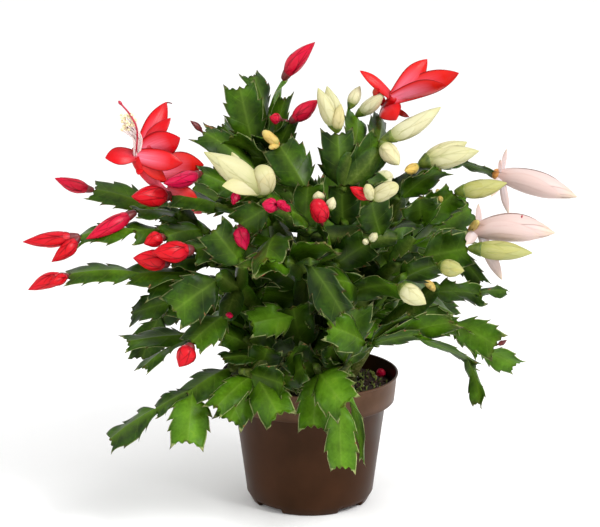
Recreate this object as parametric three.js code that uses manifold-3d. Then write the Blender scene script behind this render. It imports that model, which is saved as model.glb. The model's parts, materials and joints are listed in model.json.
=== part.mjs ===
// Potted christmas cactus. Millimetres, +Z up, origin in the middle of the pot's flat foot.
// The plant faces the viewer along +Y, so its front is at negative Y.
import * as THREE from 'three';
import { mergeVertices } from 'three/addons/utils/BufferGeometryUtils.js';
import Module from 'manifold-3d';

const wasm = await Module();
wasm.setup();

// Driving dimensions.
const pot = {
  height: 90,
  lipRadius: 60,
  bandHeight: 19.5,
  bandRadius: 57.4,
  shoulderRadius: 51.6,
  footRadius: 43.2,
  baseRadius: 39,
  bevel: 7,
  wall: 1.3,
  floor: 2.2,
  sides: 24,
  drainSteps: 4,
  drainWidth: 21,
  drainHeight: 4,
  drainDepth: 3.5,
};
const soilTop = 79;
const soilHill = 1.8;
const soilRings = 2;
const seat = 0.3;
const peg = { radius: 2.3, depth: 9, sides: 6 };
const bladeClear = 0.5;
const bladeSwell = 0.6;
const edgeSwell = 1.6;
const probeRows = 7;
const probeStep = 0.15;
const shortReach = 22;
const stalkWidth = 12;
const stalkLength = 54;
const forkAt = 0.82;
const budAt = 0.94;
const budStand = 0.6;
const smooth = 0.35;
const budSmooth = 0.1;
// What a touching spot costs a segment: of its own stem, of another stem, of the pot or soil.
const costs = { own: 1, other: 3, pot: 3 };
// The room that segments leave round the lip, inside the wall and above the soil.
const potRoom = { lip: 3, wall: 7, soil: 2 };
// How a stem's old segments climb: share of the rise near the root and further on, and a lift.
const climb = { root: 0.62, least: 30, lift: 8, further: 0.2, bendAt: 0.3 };

// The picture's frame: where a pixel of the 600 by 527 picture lies at a given depth.
const viewer = { x: -6.8, y: -1550, z: 545, pitch: 13.77, focal: 2374, midX: 300, midY: 263.5 };

const viewPoint = new THREE.Vector3(viewer.x, viewer.y, viewer.z);

function seen(px, py, depth) {
  const pitch = THREE.MathUtils.degToRad(viewer.pitch);
  const up = viewer.midY - py;
  const run = viewer.focal * Math.cos(pitch) + up * Math.sin(pitch);
  const rise = up * Math.cos(pitch) - viewer.focal * Math.sin(pitch);
  const reach = (depth - viewer.y) / run;
  return new THREE.Vector3(viewer.x + (px - viewer.midX) * reach, depth, viewer.z + rise * reach);
}

// A small seeded source of even random numbers from 0 to 1.
function seeded(seed) {
  let state = seed;
  return () => {
    state = (state + 0x6d2b79f5) | 0;
    let mix = Math.imul(state ^ (state >>> 15), 1 | state);
    mix = (mix + Math.imul(mix ^ (mix >>> 7), 61 | mix)) ^ mix;
    return ((mix ^ (mix >>> 14)) >>> 0) / 4294967296;
  };
}

// Outline of a flat stem segment: two forward teeth a side and two horns at a cut-off tip.
// edge and rib are places along the segment for the margin and the midrib. Its base is a point
// sunk in the segment that it grows from.
const leafProfile = [
  { edge: 0.0, wide: 0, rib: 0.0, thick: 0 },
  { edge: 0.4, wide: 0.98, rib: 0.26, thick: 1.4 },
  { edge: 0.385, wide: 0.86, rib: 0.46, thick: 1.3 },
  { edge: 0.76, wide: 1.0, rib: 0.6, thick: 1.2 },
  { edge: 0.735, wide: 0.83, rib: 0.79, thick: 1.0 },
  { edge: 1.04, wide: 0.6, rib: 0.94, thick: 0.9 },
];

// An old, corky segment near the root: narrow and thick.
const stalkProfile = [
  { edge: 0.0, wide: 0.4, rib: 0.0, thick: 2.0 },
  { edge: 0.5, wide: 1.0, rib: 0.5, thick: 2.0 },
  { edge: 1.03, wide: 0.5, rib: 0.97, thick: 1.5 },
];

// A petal: a strip that is widest past its middle, with a point at each end.
const petalProfile = [
  { edge: 0.0, wide: 0, rib: 0.0, thick: 0 },
  { edge: 0.3, wide: 0.74, rib: 0.3, thick: 0.9 },
  { edge: 0.63, wide: 1.0, rib: 0.65, thick: 0.75 },
  { edge: 0.87, wide: 0.62, rib: 0.88, thick: 0.6 },
  { edge: 1.0, wide: 0, rib: 1.0, thick: 0 },
];

// A flat strip between two points, turned about its own length from facing the viewer.
function strip(base, tip, width, turn, bow, profile, toward = viewPoint.clone().sub(base)) {
  const axis = tip.clone().sub(base);
  const length = axis.length();
  axis.normalize();
  const facing = toward.clone().addScaledVector(axis, -toward.dot(axis)).normalize();
  facing.applyAxisAngle(axis, THREE.MathUtils.degToRad(turn));
  const side = facing.clone().cross(axis);
  const crown = bow * length * (facing.z < 0 ? -1 : 1);
  const thick = Math.max(...profile.map((station) => station.thick));
  return { base, tip, axis, side, facing, length, half: width / 2, thick, crown, profile };
}

function arch(blade, along) {
  const t = THREE.MathUtils.clamp(along, 0, 1);
  return blade.crown * 4 * t * (1 - t);
}

function placeOn(blade, along, across, lift) {
  return blade.base.clone()
    .addScaledVector(blade.axis, along * blade.length)
    .addScaledVector(blade.side, across)
    .addScaledVector(blade.facing, lift + arch(blade, along));
}

function solidFrom(geometry) {
  const bare = geometry.clone();
  bare.deleteAttribute('normal');
  bare.deleteAttribute('uv');
  const merged = mergeVertices(bare, 1e-4);
  return new wasm.Manifold(new wasm.Mesh({
    numProp: 3,
    vertProperties: new Float32Array(merged.attributes.position.array),
    triVerts: new Uint32Array(merged.index.array),
  }));
}

// The strip's solid: lozenge sections joined with the same diagonals on both faces. A section of
// no width is one point.
function stripSolid(blade, grow = 0) {
  const { profile, half, length } = blade;
  // Narrow edges are grown more, so that the clearance beside them is kept.
  const points = [];
  const rings = profile.map((station, k) => {
    const end = k === 0 ? -grow : k === profile.length - 1 ? grow : 0;
    const edge = station.edge + end / length;
    const rib = station.rib + end / length;
    const first = points.length;
    if (station.wide === 0) {
      points.push(placeOn(blade, edge + end / length, 0, 0));
      return [first, first, first, first];
    }
    const wide = station.wide * half + grow * edgeSwell;
    const thick = station.thick + grow;
    points.push(placeOn(blade, edge, wide, 0), placeOn(blade, rib, 0, thick));
    points.push(placeOn(blade, edge, -wide, 0), placeOn(blade, rib, 0, -thick));
    return [first, first + 1, first + 2, first + 3];
  });
  const faces = [];
  const face = (a, b, c) => {
    if (a !== b && b !== c && a !== c) faces.push(a, b, c);
  };
  for (let k = 0; k + 1 < rings.length; k += 1) {
    const [right, top, left, under] = rings[k];
    const [right2, top2, left2, under2] = rings[k + 1];
    face(right, top, right2);
    face(top, top2, right2);
    face(top, left, left2);
    face(top, left2, top2);
    face(left, under, left2);
    face(under, under2, left2);
    face(under, right, right2);
    face(under, right2, under2);
  }
  const [right, top, left, under] = rings[0];
  face(right, under, top);
  face(under, left, top);
  const [right2, top2, left2, under2] = rings.at(-1);
  face(right2, top2, under2);
  face(top2, left2, under2);
  const geometry = new THREE.BufferGeometry().setFromPoints(points);
  geometry.setIndex(faces);
  return solidFrom(geometry);
}

// A body of revolution from one point to another; rings are [along, radius] shares, and a ring
// of no radius is a pole.
function turned(base, tip, radius, rings, sides, grow = 0) {
  const axis = tip.clone().sub(base);
  const length = axis.length();
  const outline = rings.map(([along, wide], k) => {
    const end = k === 0 ? -grow : k === rings.length - 1 ? grow : 0;
    return new THREE.Vector2(wide === 0 ? 0 : wide * radius + grow, along * length + end);
  });
  const geometry = new THREE.LatheGeometry(outline, sides);
  const lean = new THREE.Quaternion().setFromUnitVectors(new THREE.Vector3(0, 1, 0), axis.normalize());
  geometry.applyQuaternion(lean).translate(base.x, base.y, base.z);
  return solidFrom(geometry);
}

// A thin rod along a curve through a few points.
function rod(points, radius, sides, steps) {
  const outline = [];
  for (let k = 0; k < sides; k += 1) {
    const angle = (k / sides) * Math.PI * 2;
    outline.push(new THREE.Vector2(Math.cos(angle) * radius, Math.sin(angle) * radius));
  }
  const extrudePath = new THREE.CatmullRomCurve3(points);
  return solidFrom(new THREE.ExtrudeGeometry(new THREE.Shape(outline), { extrudePath, steps }));
}

// Where blades grow.

const blades = [];
const limbs = new Map();

// A tighter shape round a blade: half its width at a place along it.
function girth(blade, along) {
  if (along < -0.05 || along > 1.08) return 0;
  return blade.half * Math.min(1, 0.2 + 2.2 * Math.max(along, 0));
}

function probes(blade) {
  const points = [];
  for (let i = 0; i < probeRows; i += 1) {
    const along = 0.1 + i * probeStep;
    for (let j = -2; j <= 2; j += 1) {
      points.push(placeOn(blade, along, (j / 2) * girth(blade, along), 0));
    }
  }
  return points;
}

function within(point, blade, gap) {
  const reach = point.clone().sub(blade.base);
  const along = reach.dot(blade.axis) / blade.length;
  const wide = girth(blade, along);
  if (wide === 0) return false;
  if (Math.abs(reach.dot(blade.side)) > wide + 1) return false;
  return Math.abs(reach.dot(blade.facing) - arch(blade, along)) < gap;
}

// The pot's wall and the soil, as a plain ring and disc that a segment stays out of.
function inPot(point) {
  const radius = Math.hypot(point.x, point.y);
  if (point.z > pot.height + potRoom.lip || radius > pot.lipRadius + potRoom.lip) return false;
  return radius > pot.lipRadius - potRoom.wall || point.z < soilTop + soilHill + potRoom.soil;
}

function clashes(blade) {
  const mine = probes(blade);
  const centre = placeOn(blade, 0.5, 0, 0);
  let count = costs.pot * mine.filter(inPot).length;
  for (const other of blades) {
    const kin = other === blade.parent || (other.parent === blade.parent && other.stem === blade.stem);
    if (kin || other.parent === blade) continue;
    const far = (other.length + blade.length) * 0.5 + 14;
    if (placeOn(other, 0.5, 0, 0).distanceTo(centre) > far) continue;
    const weight = other.stem === blade.stem ? costs.own : costs.other;
    const gap = blade.thick + other.thick + bladeClear;
    count += weight * mine.filter((point) => within(point, other, gap)).length;
    count += weight * other.probes.filter((point) => within(point, blade, gap)).length;
  }
  return count;
}

// A blade is tried as drawn, then nearer or further along the line of sight and turned more. An
// old segment, which leaves hide, may also lean to a side.
const nudges = [0, -6, 6, -12, 12, -18, 18, -25, 25];
const turns = [0, 22, -22, 45];
const leans = [0, 8, -8, 16, -16];

function settle(make, old) {
  let best = null;
  for (const lean of old ? leans : [0]) {
    for (const turn of turns) {
      for (const shift of nudges) {
        const blade = make(shift, turn, lean);
        const count = clashes(blade);
        if (count === 0) return blade;
        if (best === null || count < best.count) best = { blade, count };
      }
    }
  }
  return best.blade;
}

function keep(blade) {
  blade.probes = probes(blade);
  blades.push(blade);
  return blade;
}

function growBlade(stem, parent, aim, width, turn, bow, profile) {
  const base = placeOn(parent, forkAt, 0, 0);
  const sight = aim.clone().sub(viewPoint).normalize();
  const across = new THREE.Vector3(0, 0, 1).cross(sight).normalize();
  return keep(settle((shift, extra, lean) => {
    const tip = aim.clone().addScaledVector(sight, shift).addScaledVector(across, lean);
    return { ...strip(base, tip, width, turn + extra, bow, profile), stem, parent };
  }, profile === stalkProfile));
}

// Old segments carry a limb from what it grows on to where its leafy segments start.
function reachTo(stem, from, start, random) {
  const first = placeOn(from, forkAt, 0, 0);
  const gap = first.distanceTo(start);
  if (gap < shortReach) return from;
  const level = start.z - first.z;
  const rise = from.root ? climb.root * Math.max(level, climb.least) + climb.lift : climb.further * level;
  const bend = first.clone().lerp(start, climb.bendAt);
  bend.z = first.z + rise;
  const route = new THREE.QuadraticBezierCurve3(first, bend, start);
  const count = Math.max(1, Math.round(route.getLength() / stalkLength));
  let last = from;
  for (let k = 1; k <= count; k += 1) {
    const width = stalkWidth + 3 * random() + (k > 1 ? 3 : 0);
    last = growBlade(stem, last, route.getPoint(k / count), width, random() * 180, 0.03, stalkProfile);
  }
  return last;
}

function rootOf(stem, x, y) {
  const base = new THREE.Vector3(x, y, soilTop - peg.depth);
  const tip = new THREE.Vector3(x, y, soilTop + 7);
  return { ...strip(base, tip, peg.radius * 2, 0, 0, stalkProfile), stem, root: true };
}

// Each stem: its name, its root in the soil, then its limbs. A limb has a name, the limb it forks
// from and which of that limb's segments, the pixel and depth where its leafy part starts, and its
// segments as [pixel across, pixel down, depth, width, turn].
const stems = [
  ['top', -6, 14, [
    ['upright', 'root', 0, [270, 238, -5], [
      [262, 188, -12, 24, 35], [252, 139, -18, 25, 15], [239, 84, -12, 26, 0]]],
    ['upperTurned', 'upright', 0, [262, 188, -10], [[266, 112, 6, 22, 50], [251, 73, 10, 22, 50]]],
    ['peak', 'upright', 0, [262, 188, -10], [[220, 121, 8, 21, 40]]],
    ['ribbed', 'upperTurned', 0, [266, 112, 6], [[284, 78, 0, 15, 80]]],
    ['small', 'upright', 0, [270, 160, 0], [[285, 94, -6, 14, 30]]],
    ['budFoot', 'upright', 0, [274, 156, -22], [[291, 120, -26, 15, 30]]],
  ]],
  ['left_high', -16, 6, [
    ['shade', 'root', 0, [268, 205, -25], [[258, 165, -25, 22, 30], [200, 131, -15, 24, 35]]],
    ['budArm', 'shade', -1, [240, 192, -42], [[199, 172, -48, 21, 45]]],
    ['redArm', 'shade', -1, [214, 207, -48], [[168, 196, -52, 23, 55]]],
  ]],
  ['left', -24, -4, [
    ['leftTop', 'root', 0, [190, 220, -30], [[140, 206, -36, 23, 55], [91, 190, -30, 24, 42]]],
    ['leftEdge', 'leftTop', -1, [178, 214, -46], [[134, 212, -54, 20, 75]]],
    ['leftMid', 'leftTop', -1, [180, 238, -50], [[131, 232, -62, 22, 58], [77, 237, -64, 22, 58]]],
    ['budTwig', 'leftTop', -1, [206, 232, -58], [[163, 237, -74, 22, 40]]],
    ['budTwo', 'leftTop', -2, [236, 247, -72], [[192, 250, -84, 24, 50]]],
    ['leftFill', 'leftTop', -1, [196, 236, -40], [[158, 221, -44, 25, 20]]],
    ['budThree', 'leftTop', -2, [212, 264, -72], [[168, 264, -78, 20, 62]]],
  ]],
  ['left_low', -22, -16, [
    ['leftLong', 'root', 0, [232, 280, -62], [
      [191, 275, -74, 24, 50], [126, 275, -78, 25, 58], [65, 276, -80, 26, 58]]],
    ['leftWall', 'leftLong', -1, [230, 262, -66], [[212, 228, -70, 27, 12]]],
    ['broad', 'leftLong', -1, [219, 276, -88], [[171, 313, -104, 30, 8]]],
    ['behindBroad', 'leftLong', 0, [193, 280, -80], [[144, 289, -90, 24, 35]]],
    ['lowArm', 'leftLong', -1, [226, 320, -84], [[190, 345, -98, 25, 35]]],
  ]],
  ['left_drop', -14, -26, [
    ['thinArm', 'root', 0, [243, 338, -62], [[183, 337, -72, 10, 60], [124, 344, -78, 23, 55]]],
    ['edgeDrop', 'thinArm', 0, [183, 337, -72], [[141, 369, -92, 22, 78]]],
    ['dropChain', 'thinArm', -1, [230, 371, -76], [
      [184, 397, -88, 25, 45], [155, 411, -84, 17, 45], [107, 442, -82, 23, 50]]],
    ['brightDrop', 'dropChain', 0, [184, 397, -92], [[187, 446, -110, 27, 0]]],
  ]],
  ['front_left', -3, -33, [
    ['hangOne', 'root', 0, [241, 371, -78], [[228, 424, -100, 26, 8]]],
    ['hangTwo', 'hangOne', -1, [251, 382, -90], [[213, 410, -90, 18, 40]]],
    ['hangThree', 'hangOne', -1, [273, 376, -86], [[280, 417, -108, 27, -5]]],
    ['innerLeft', 'hangOne', -1, [262, 356, -50], [[221, 360, -78, 20, 60]]],
  ]],
  ['front', 8, -30, [
    ['hangFour', 'root', 0, [316, 366, -80], [[313, 430, -92, 25, 5]]],
    ['hangFive', 'hangFour', -1, [327, 360, -88], [[347, 408, -106, 29, 10], [342, 472, -98, 22, 15]]],
    ['sliver', 'hangFour', -1, [352, 392, -78], [[363, 462, -80, 20, 72]]],
    ['innerMid', 'root', 0, [302, 352, -46], [[292, 304, -60, 26, 12]]],
  ]],
  ['front_right', 18, -24, [
    ['ribStalk', 'root', 0, [348, 363, -80], [[372, 343, -92, 12, 50], [411, 312, -98, 16, 60]]],
    ['brightLeaf', 'ribStalk', 0, [372, 343, -95], [[327, 326, -114, 25, 25]]],
    ['thinArch', 'ribStalk', 0, [372, 343, -95], [
      [423, 334, -96, 13, 50], [480, 366, -92, 16, 70], [481, 406, -94, 20, 64]]],
    ['rightFace', 'ribStalk', 0, [385, 335, -100], [[457, 320, -104, 22, 50]]],
    ['innerRight', 'ribStalk', -1, [352, 350, -60], [[358, 304, -68, 26, 30]]],
  ]],
  ['right_low', 26, -12, [
    ['lowRight', 'root', 0, [424, 306, -56], [[460, 325, -66, 22, 45], [499, 346, -62, 25, 22]]],
    ['paleTip', 'lowRight', 0, [460, 325, -62], [[484, 355, -48, 18, 45], [518, 366, -40, 21, 45]]],
    ['flatRight', 'lowRight', -1, [438, 286, -72], [[484, 294, -80, 25, 50], [508, 290, -76, 15, 64]]],
  ]],
  ['right', 24, 2, [
    ['rightBud', 'root', 0, [398, 262, -56], [[427, 256, -62, 22, 35], [470, 248, -66, 29, 12]]],
    ['paleArm', 'rightBud', -1, [414, 238, -48], [[471, 231, -52, 18, 58]]],
    ['heart', 'rightBud', -1, [436, 222, -28], [[473, 207, -22, 27, 15]]],
    ['creamArm', 'rightBud', -2, [404, 276, -84], [[440, 264, -94, 23, 40]]],
    ['midFace', 'rightBud', -2, [380, 290, -98], [[334, 280, -112, 25, 50]]],
    ['midBud', 'rightBud', -2, [364, 292, -96], [[401, 286, -108, 23, 45]]],
  ]],
  ['right_high', 14, 12, [
    ['rightTop', 'root', 0, [396, 222, -36], [[428, 222, -52, 22, 35], [456, 191, -52, 25, 25]]],
    ['wideTop', 'rightTop', 0, [428, 226, -58], [[420, 196, -76, 26, 10]]],
    ['darkFan', 'rightTop', -1, [398, 197, -48], [[443, 168, -56, 20, 45]]],
    ['pairArm', 'rightTop', -1, [393, 186, -40], [[420, 164, -46, 18, 55]]],
    ['edgeArm', 'rightTop', -1, [424, 168, -6], [[461, 157, -2, 19, 70], [494, 174, -8, 17, 72]]],
  ]],
  ['top_right', 4, 4, [
    ['crown', 'root', 0, [345, 222, -54], [[342, 182, -58, 24, 20], [337, 130, -50, 26, 5]]],
    ['crownTwo', 'crown', 0, [356, 178, -56], [[383, 139, -46, 25, 28]]],
    ['crownSide', 'crown', -1, [352, 216, -50], [[370, 180, -48, 26, 25]]],
    ['crownBack', 'crown', 0, [350, 152, -28], [[356, 115, -16, 23, 20]]],
    ['redHold', 'crown', 0, [366, 150, -22], [[381, 114, -8, 17, 30]]],
  ]],
  ['centre', -6, -10, [
    ['centreTop', 'root', 0, [304, 226, -76], [[308, 182, -72, 23, 20], [278, 143, -56, 28, 8]]],
    ['faceTop', 'centreTop', -1, [296, 214, -62], [[284, 178, -62, 27, 12]]],
    ['roundArm', 'centreTop', -1, [284, 216, -78], [[262, 194, -84, 20, 48]]],
    ['hangBud', 'centreTop', -1, [262, 200, -88], [[237, 226, -100, 22, 20]]],
    ['shelfOne', 'centreTop', -2, [287, 262, -104], [[246, 269, -122, 25, 58]]],
    ['shelfTwo', 'centreTop', -2, [287, 258, -104], [[328, 241, -116, 25, 55]]],
    ['slope', 'centreTop', -2, [311, 262, -108], [[345, 316, -126, 25, 30]]],
    ['face', 'centreTop', -2, [276, 224, -92], [[266, 264, -110, 27, 0]]],
    ['magentaArm', 'centreTop', -1, [310, 230, -92], [[289, 210, -102, 17, 66]]],
    ['roundHold', 'centreTop', -2, [338, 252, -98], [[322, 224, -110, 17, 60]]],
    ['ovalHold', 'centreTop', -1, [372, 238, -84], [[371, 198, -88, 25, 15]]],
    ['dots', 'centreTop', -2, [350, 266, -98], [[371, 241, -106, 25, 25]]],
  ]],
];

function growLimb(stem, root, [name, fromName, fromIndex, start, segments], random) {
  let from = root;
  if (fromName !== 'root') from = limbs.get(fromName).segments[Math.max(fromIndex, 0)];
  for (let k = fromIndex; k < 0; k += 1) from = from.parent;
  let last = reachTo(stem, from, seen(...start), random);
  const made = [];
  for (const [px, py, depth, width, turn] of segments) {
    const bow = 0.03 + 0.05 * random();
    last = growBlade(stem, last, seen(px, py, depth), width, turn, bow, leafProfile);
    made.push(last);
  }
  limbs.set(name, { segments: made });
}

const roots = [];
stems.forEach(([stem, x, y, rows], index) => {
  const random = seeded(100 + index);
  const root = rootOf(stem, x, y);
  roots.push(root);
  for (const row of rows) growLimb(stem, root, row, random);
});

// The rest of the plant, seen from behind and from above: the same habit, by a rule.
const backStems = 6;
const backRing = 31;
const backFrom = 30;
const backTo = 150;
// Chains of a back stem: how far each veers off and lifts, in radians, and its segments.
const backChains = [[0, 0, 3], [-0.75, -0.1, 2], [0.75, 0.15, 2], [2.6, 0.4, 1]];

function heading(azimuth, slope) {
  const flat = Math.cos(slope);
  return new THREE.Vector3(Math.cos(azimuth) * flat, Math.sin(azimuth) * flat, Math.sin(slope));
}

// From a segment's end, chains run outwards and droop a little more with each segment.
function growChain(stem, from, azimuth, slope, count, random) {
  let last = from;
  let tilt = slope;
  let way = azimuth;
  for (let k = 0; k < count; k += 1) {
    const base = placeOn(last, forkAt, 0, 0);
    const size = 36 + 8 * random();
    const aim = base.clone().addScaledVector(heading(way, tilt), size);
    const width = 23 + 5 * random();
    last = growBlade(stem, last, aim, width, random() * 120 - 60, 0.03 + 0.05 * random(), leafProfile);
    tilt -= 0.35 + 0.35 * random();
    way += (random() - 0.5) * 0.7;
  }
  return last;
}

for (let k = 0; k < backStems; k += 1) {
  const stem = `back_${k + 1}`;
  const random = seeded(700 + k);
  const azimuth = THREE.MathUtils.degToRad(backFrom + ((backTo - backFrom) / (backStems - 1)) * k);
  const root = rootOf(stem, Math.cos(azimuth) * backRing, Math.sin(azimuth) * backRing);
  roots.push(root);
  const high = k % 2 === 0;
  const out = high ? 42 : 76;
  const level = high ? 140 + 60 * Math.sin(azimuth) : 132;
  const start = new THREE.Vector3(Math.cos(azimuth) * out, Math.sin(azimuth) * out, level);
  const top = reachTo(stem, root, start, random);
  const slope = high ? 0.45 : 0.1;
  backChains.forEach(([veer, lift, count], chain) => {
    const end = growChain(stem, top, azimuth + veer, slope + lift, count, random);
    limbs.set(`${stem}_${chain + 1}`, { segments: [end] });
  });
}

// Solids. Everything that grows later keeps clear of what is already there.

const group = new THREE.Group();
const looks = {
  pot: { color: '#4b3228', roughness: 0.35 },
  soil: { color: '#2b1d14', roughness: 0.95 },
  leaf: { color: '#3d7a1f', roughness: 0.45 },
  red: { color: '#d3122b', roughness: 0.4 },
  cream: { color: '#eef0bf', roughness: 0.4 },
  pink: { color: '#f9ddd3', roughness: 0.45 },
};

function addMesh(name, manifold, look) {
  const { vertProperties, triVerts } = manifold.getMesh();
  const geometry = new THREE.BufferGeometry();
  geometry.setAttribute('position', new THREE.BufferAttribute(new Float32Array(vertProperties), 3));
  geometry.setIndex(new THREE.BufferAttribute(new Uint32Array(triVerts), 1));
  geometry.computeVertexNormals();
  const mesh = new THREE.Mesh(geometry, new THREE.MeshStandardMaterial({ metalness: 0, ...look }));
  mesh.name = name;
  group.add(mesh);
}

function pegSolid(root, grow) {
  const length = peg.depth + 8 + grow;
  const geometry = new THREE.CylinderGeometry(peg.radius + grow, peg.radius + grow, length, peg.sides);
  geometry.rotateX(Math.PI / 2).translate(root.base.x, root.base.y, root.base.z - grow + length / 2);
  return solidFrom(geometry);
}

const kept = [];

function keepClear(solid) {
  kept.push({ solid, box: solid.boundingBox() });
}

function meet(a, b) {
  return [0, 1, 2].every((k) => a.min[k] < b.max[k] && b.min[k] < a.max[k]);
}

// The outer skin alone, with any pocket that the joins sealed filled in.
function largest(solid) {
  return solid.decompose().sort((a, b) => b.volume() - a.volume())[0];
}

// A bud or bloom is cut back from what it touches, and its largest piece is kept.
function addGrown(name, make, look) {
  let solid = wasm.Manifold.union(make(0));
  const box = solid.boundingBox();
  for (const other of kept) {
    if (meet(box, other.box)) solid = solid.subtract(other.solid);
  }
  keepClear(wasm.Manifold.union(make(seat + 0.05)));
  addMesh(name, largest(solid.simplify(budSmooth)), look);
}

for (const root of roots) {
  const grown = blades.filter((blade) => blade.stem === root.stem);
  const parts = grown.map((blade) => stripSolid(blade));
  const whole = largest(wasm.Manifold.union([pegSolid(root, 0), ...parts]).simplify(smooth));
  addMesh(`leafy_stem_${root.stem}`, whole, looks.leaf);
  for (const blade of grown) keepClear(stripSolid(blade, bladeSwell));
  keepClear(whole);
}

// Pot.

function potSolid() {
  const band = pot.height - pot.bandHeight;
  const { wall } = pot;
  const outline = [
    [0, 0],
    [pot.baseRadius, 0],
    [pot.footRadius, pot.bevel],
    [pot.shoulderRadius, band],
    [pot.bandRadius, band],
    [pot.lipRadius - 0.8, pot.height - 1.2],
    [pot.lipRadius, pot.height - 0.8],
    [pot.lipRadius, pot.height],
    [pot.lipRadius - wall, pot.height],
    [pot.bandRadius - wall, band + wall],
    [pot.shoulderRadius - wall, band + wall],
    [pot.footRadius - wall, pot.bevel + 0.5],
    [pot.baseRadius - 0.5, pot.floor],
    [0, pot.floor],
  ].map(([radius, z]) => new THREE.Vector2(radius, z));
  let solid = solidFrom(new THREE.LatheGeometry(outline, pot.sides).rotateX(Math.PI / 2));
  if (solid.volume() < 0) solid = solid.mirror([1, 0, 0]);
  for (let k = 0; k < pot.drainSteps; k += 1) {
    const notch = new THREE.BoxGeometry(pot.drainWidth, pot.footRadius, 2 * pot.drainHeight);
    notch.translate(0, -pot.baseRadius + pot.drainDepth - pot.footRadius / 2, 0);
    notch.rotateZ(((k + 0.5) / pot.drainSteps) * Math.PI * 2);
    solid = solid.subtract(solidFrom(notch));
  }
  return solid;
}

addMesh('pot', potSolid(), looks.pot);

// Soil: fills the pot, low hills on top, a plain hole for each stem.

function hills(x, y) {
  const edge = Math.min(1, (pot.lipRadius - 5 - Math.hypot(x, y)) / 12);
  return soilHill * Math.max(edge, 0) * (0.5 * Math.sin(x / 6.5 + 1) + 0.5 * Math.cos(y / 7.5 + x / 15));
}

function soilSolid() {
  const band = pot.height - pot.bandHeight;
  const inset = pot.wall + seat;
  const outline = [
    [0, pot.floor + seat],
    [pot.baseRadius - 1, pot.floor + seat],
    [pot.footRadius - inset - 0.2, pot.bevel + 0.8],
    [pot.shoulderRadius - inset - 0.1, band + pot.wall + seat],
    [pot.bandRadius - inset, band + pot.wall + seat],
    [pot.bandRadius - inset + 0.6, soilTop],
  ];
  for (let k = soilRings - 1; k >= 0; k -= 1) {
    outline.push([((pot.bandRadius - inset) * k) / soilRings, soilTop]);
  }
  const points = outline.map(([radius, z]) => new THREE.Vector2(radius, z));
  const geometry = new THREE.LatheGeometry(points, pot.sides).rotateX(Math.PI / 2);
  const place = geometry.attributes.position;
  for (let k = 0; k < place.count; k += 1) {
    if (place.getZ(k) > soilTop - 0.01) {
      place.setZ(k, soilTop + hills(place.getX(k), place.getY(k)));
    }
  }
  let solid = solidFrom(geometry);
  for (const root of roots) solid = solid.subtract(pegSolid(root, seat));
  return solid;
}

// Buds.

const budRings = [[0, 0], [0.13, 0.42], [0.42, 0.98], [0.74, 0.8], [1, 0]];
const budSides = 5;

function budSolid(base, tip, radius, grow) {
  return turned(base, tip, radius, budRings, budSides, grow);
}

// A bud's node, its colour, the limb it ends, and each bud's tip and radius:
// [pixel across, pixel down, how much further away than its base, radius].
const buds = [
  ['red_bud_top', 'red', 'ribbed', [[315, 42, -6, 5.4]]],
  ['red_buds_upper', 'red', 'budFoot', [[318, 100, -6, 5.2], [275, 116, -2, 3.6]]],
  ['red_bud_far_left', 'red', 'leftTop', [[54.5, 178, -4, 4.4]]],
  ['red_bud_left_edge', 'red', 'leftEdge', [[86, 239, -16, 5.2]]],
  ['red_buds_left', 'red', 'leftMid', [[22.5, 242, -4, 5], [51.5, 262, -10, 4.6]]],
  ['red_buds_left_low', 'red', 'leftLong', [[28, 290, -4, 4.8], [49, 285, -12, 3.6]]],
  ['red_bud_arm', 'red', 'budArm', [[163.5, 183.5, -28, 5]]],
  ['red_bud_round', 'red', 'redArm', [[131.5, 196.5, -20, 6.8]]],
  ['red_bud_twig', 'red', 'budTwig', [[144, 244, -6, 4.8]]],
  ['red_bud_second', 'red', 'budTwo', [[152.5, 252, -12, 6.8]]],
  ['red_bud_third', 'red', 'budThree', [[133, 258, -6, 6.6]]],
  ['red_bud_hanging', 'red', 'hangBud', [[246, 250, -10, 5.4]]],
  ['red_bud_low', 'red', 'lowArm', [[179, 367, -8, 6.2]]],
  ['magenta_buds', 'red', 'magentaArm', [[262, 204, -8, 5], [279, 197, -12, 3.8]]],
  ['red_bud_front', 'red', 'roundHold', [[317, 201, -16, 6.6]]],
  ['red_bud_small', 'red', 'ovalHold', [[350, 187, -6, 3.6]]],
  ['cream_buds_upper_left', 'cream', 'centreTop', [[263, 130, -6, 4.4], [269, 150, -6, 3]]],
  ['cream_buds_crown', 'cream', 'crown', [[318, 88, -4, 5.2], [327, 86, 8, 5.4], [341, 104, -6, 4]]],
  ['cream_buds_crown_back', 'cream', 'crownBack', [[360, 86, 4, 4.8], [385, 91, -4, 5.4]]],
  ['cream_buds_right_top', 'cream', 'crownTwo', [[441, 107, -10, 6.4], [396, 165, -16, 5.4]]],
  ['cream_buds_pair', 'cream', 'pairArm', [[467, 142, 4, 6.8], [479, 151, -8, 6.8], [421, 152, -10, 3.6]]],
  ['cream_bud_right', 'cream', 'rightTop', [[507, 183, -8, 5.8]]],
  ['cream_bud_far_right', 'cream', 'rightBud', [[532.5, 253, -8, 6]]],
  ['cream_bud_right_front', 'cream', 'creamArm', [[464, 271, -10, 5.3]]],
  ['cream_bud_low', 'cream', 'midBud', [[426, 304, -12, 6]]],
  ['cream_bud_round', 'cream', 'roundArm', [[262, 166, -8, 7.2]]],
  ['cream_buds_front', 'cream', 'roundHold', [[319, 190, 8, 3.8], [338, 206, 0, 3.6]]],
  ['cream_buds_oval', 'cream', 'ovalHold', [[399, 183, -8, 5.6], [367, 185, -10, 3.4]]],
];

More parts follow.
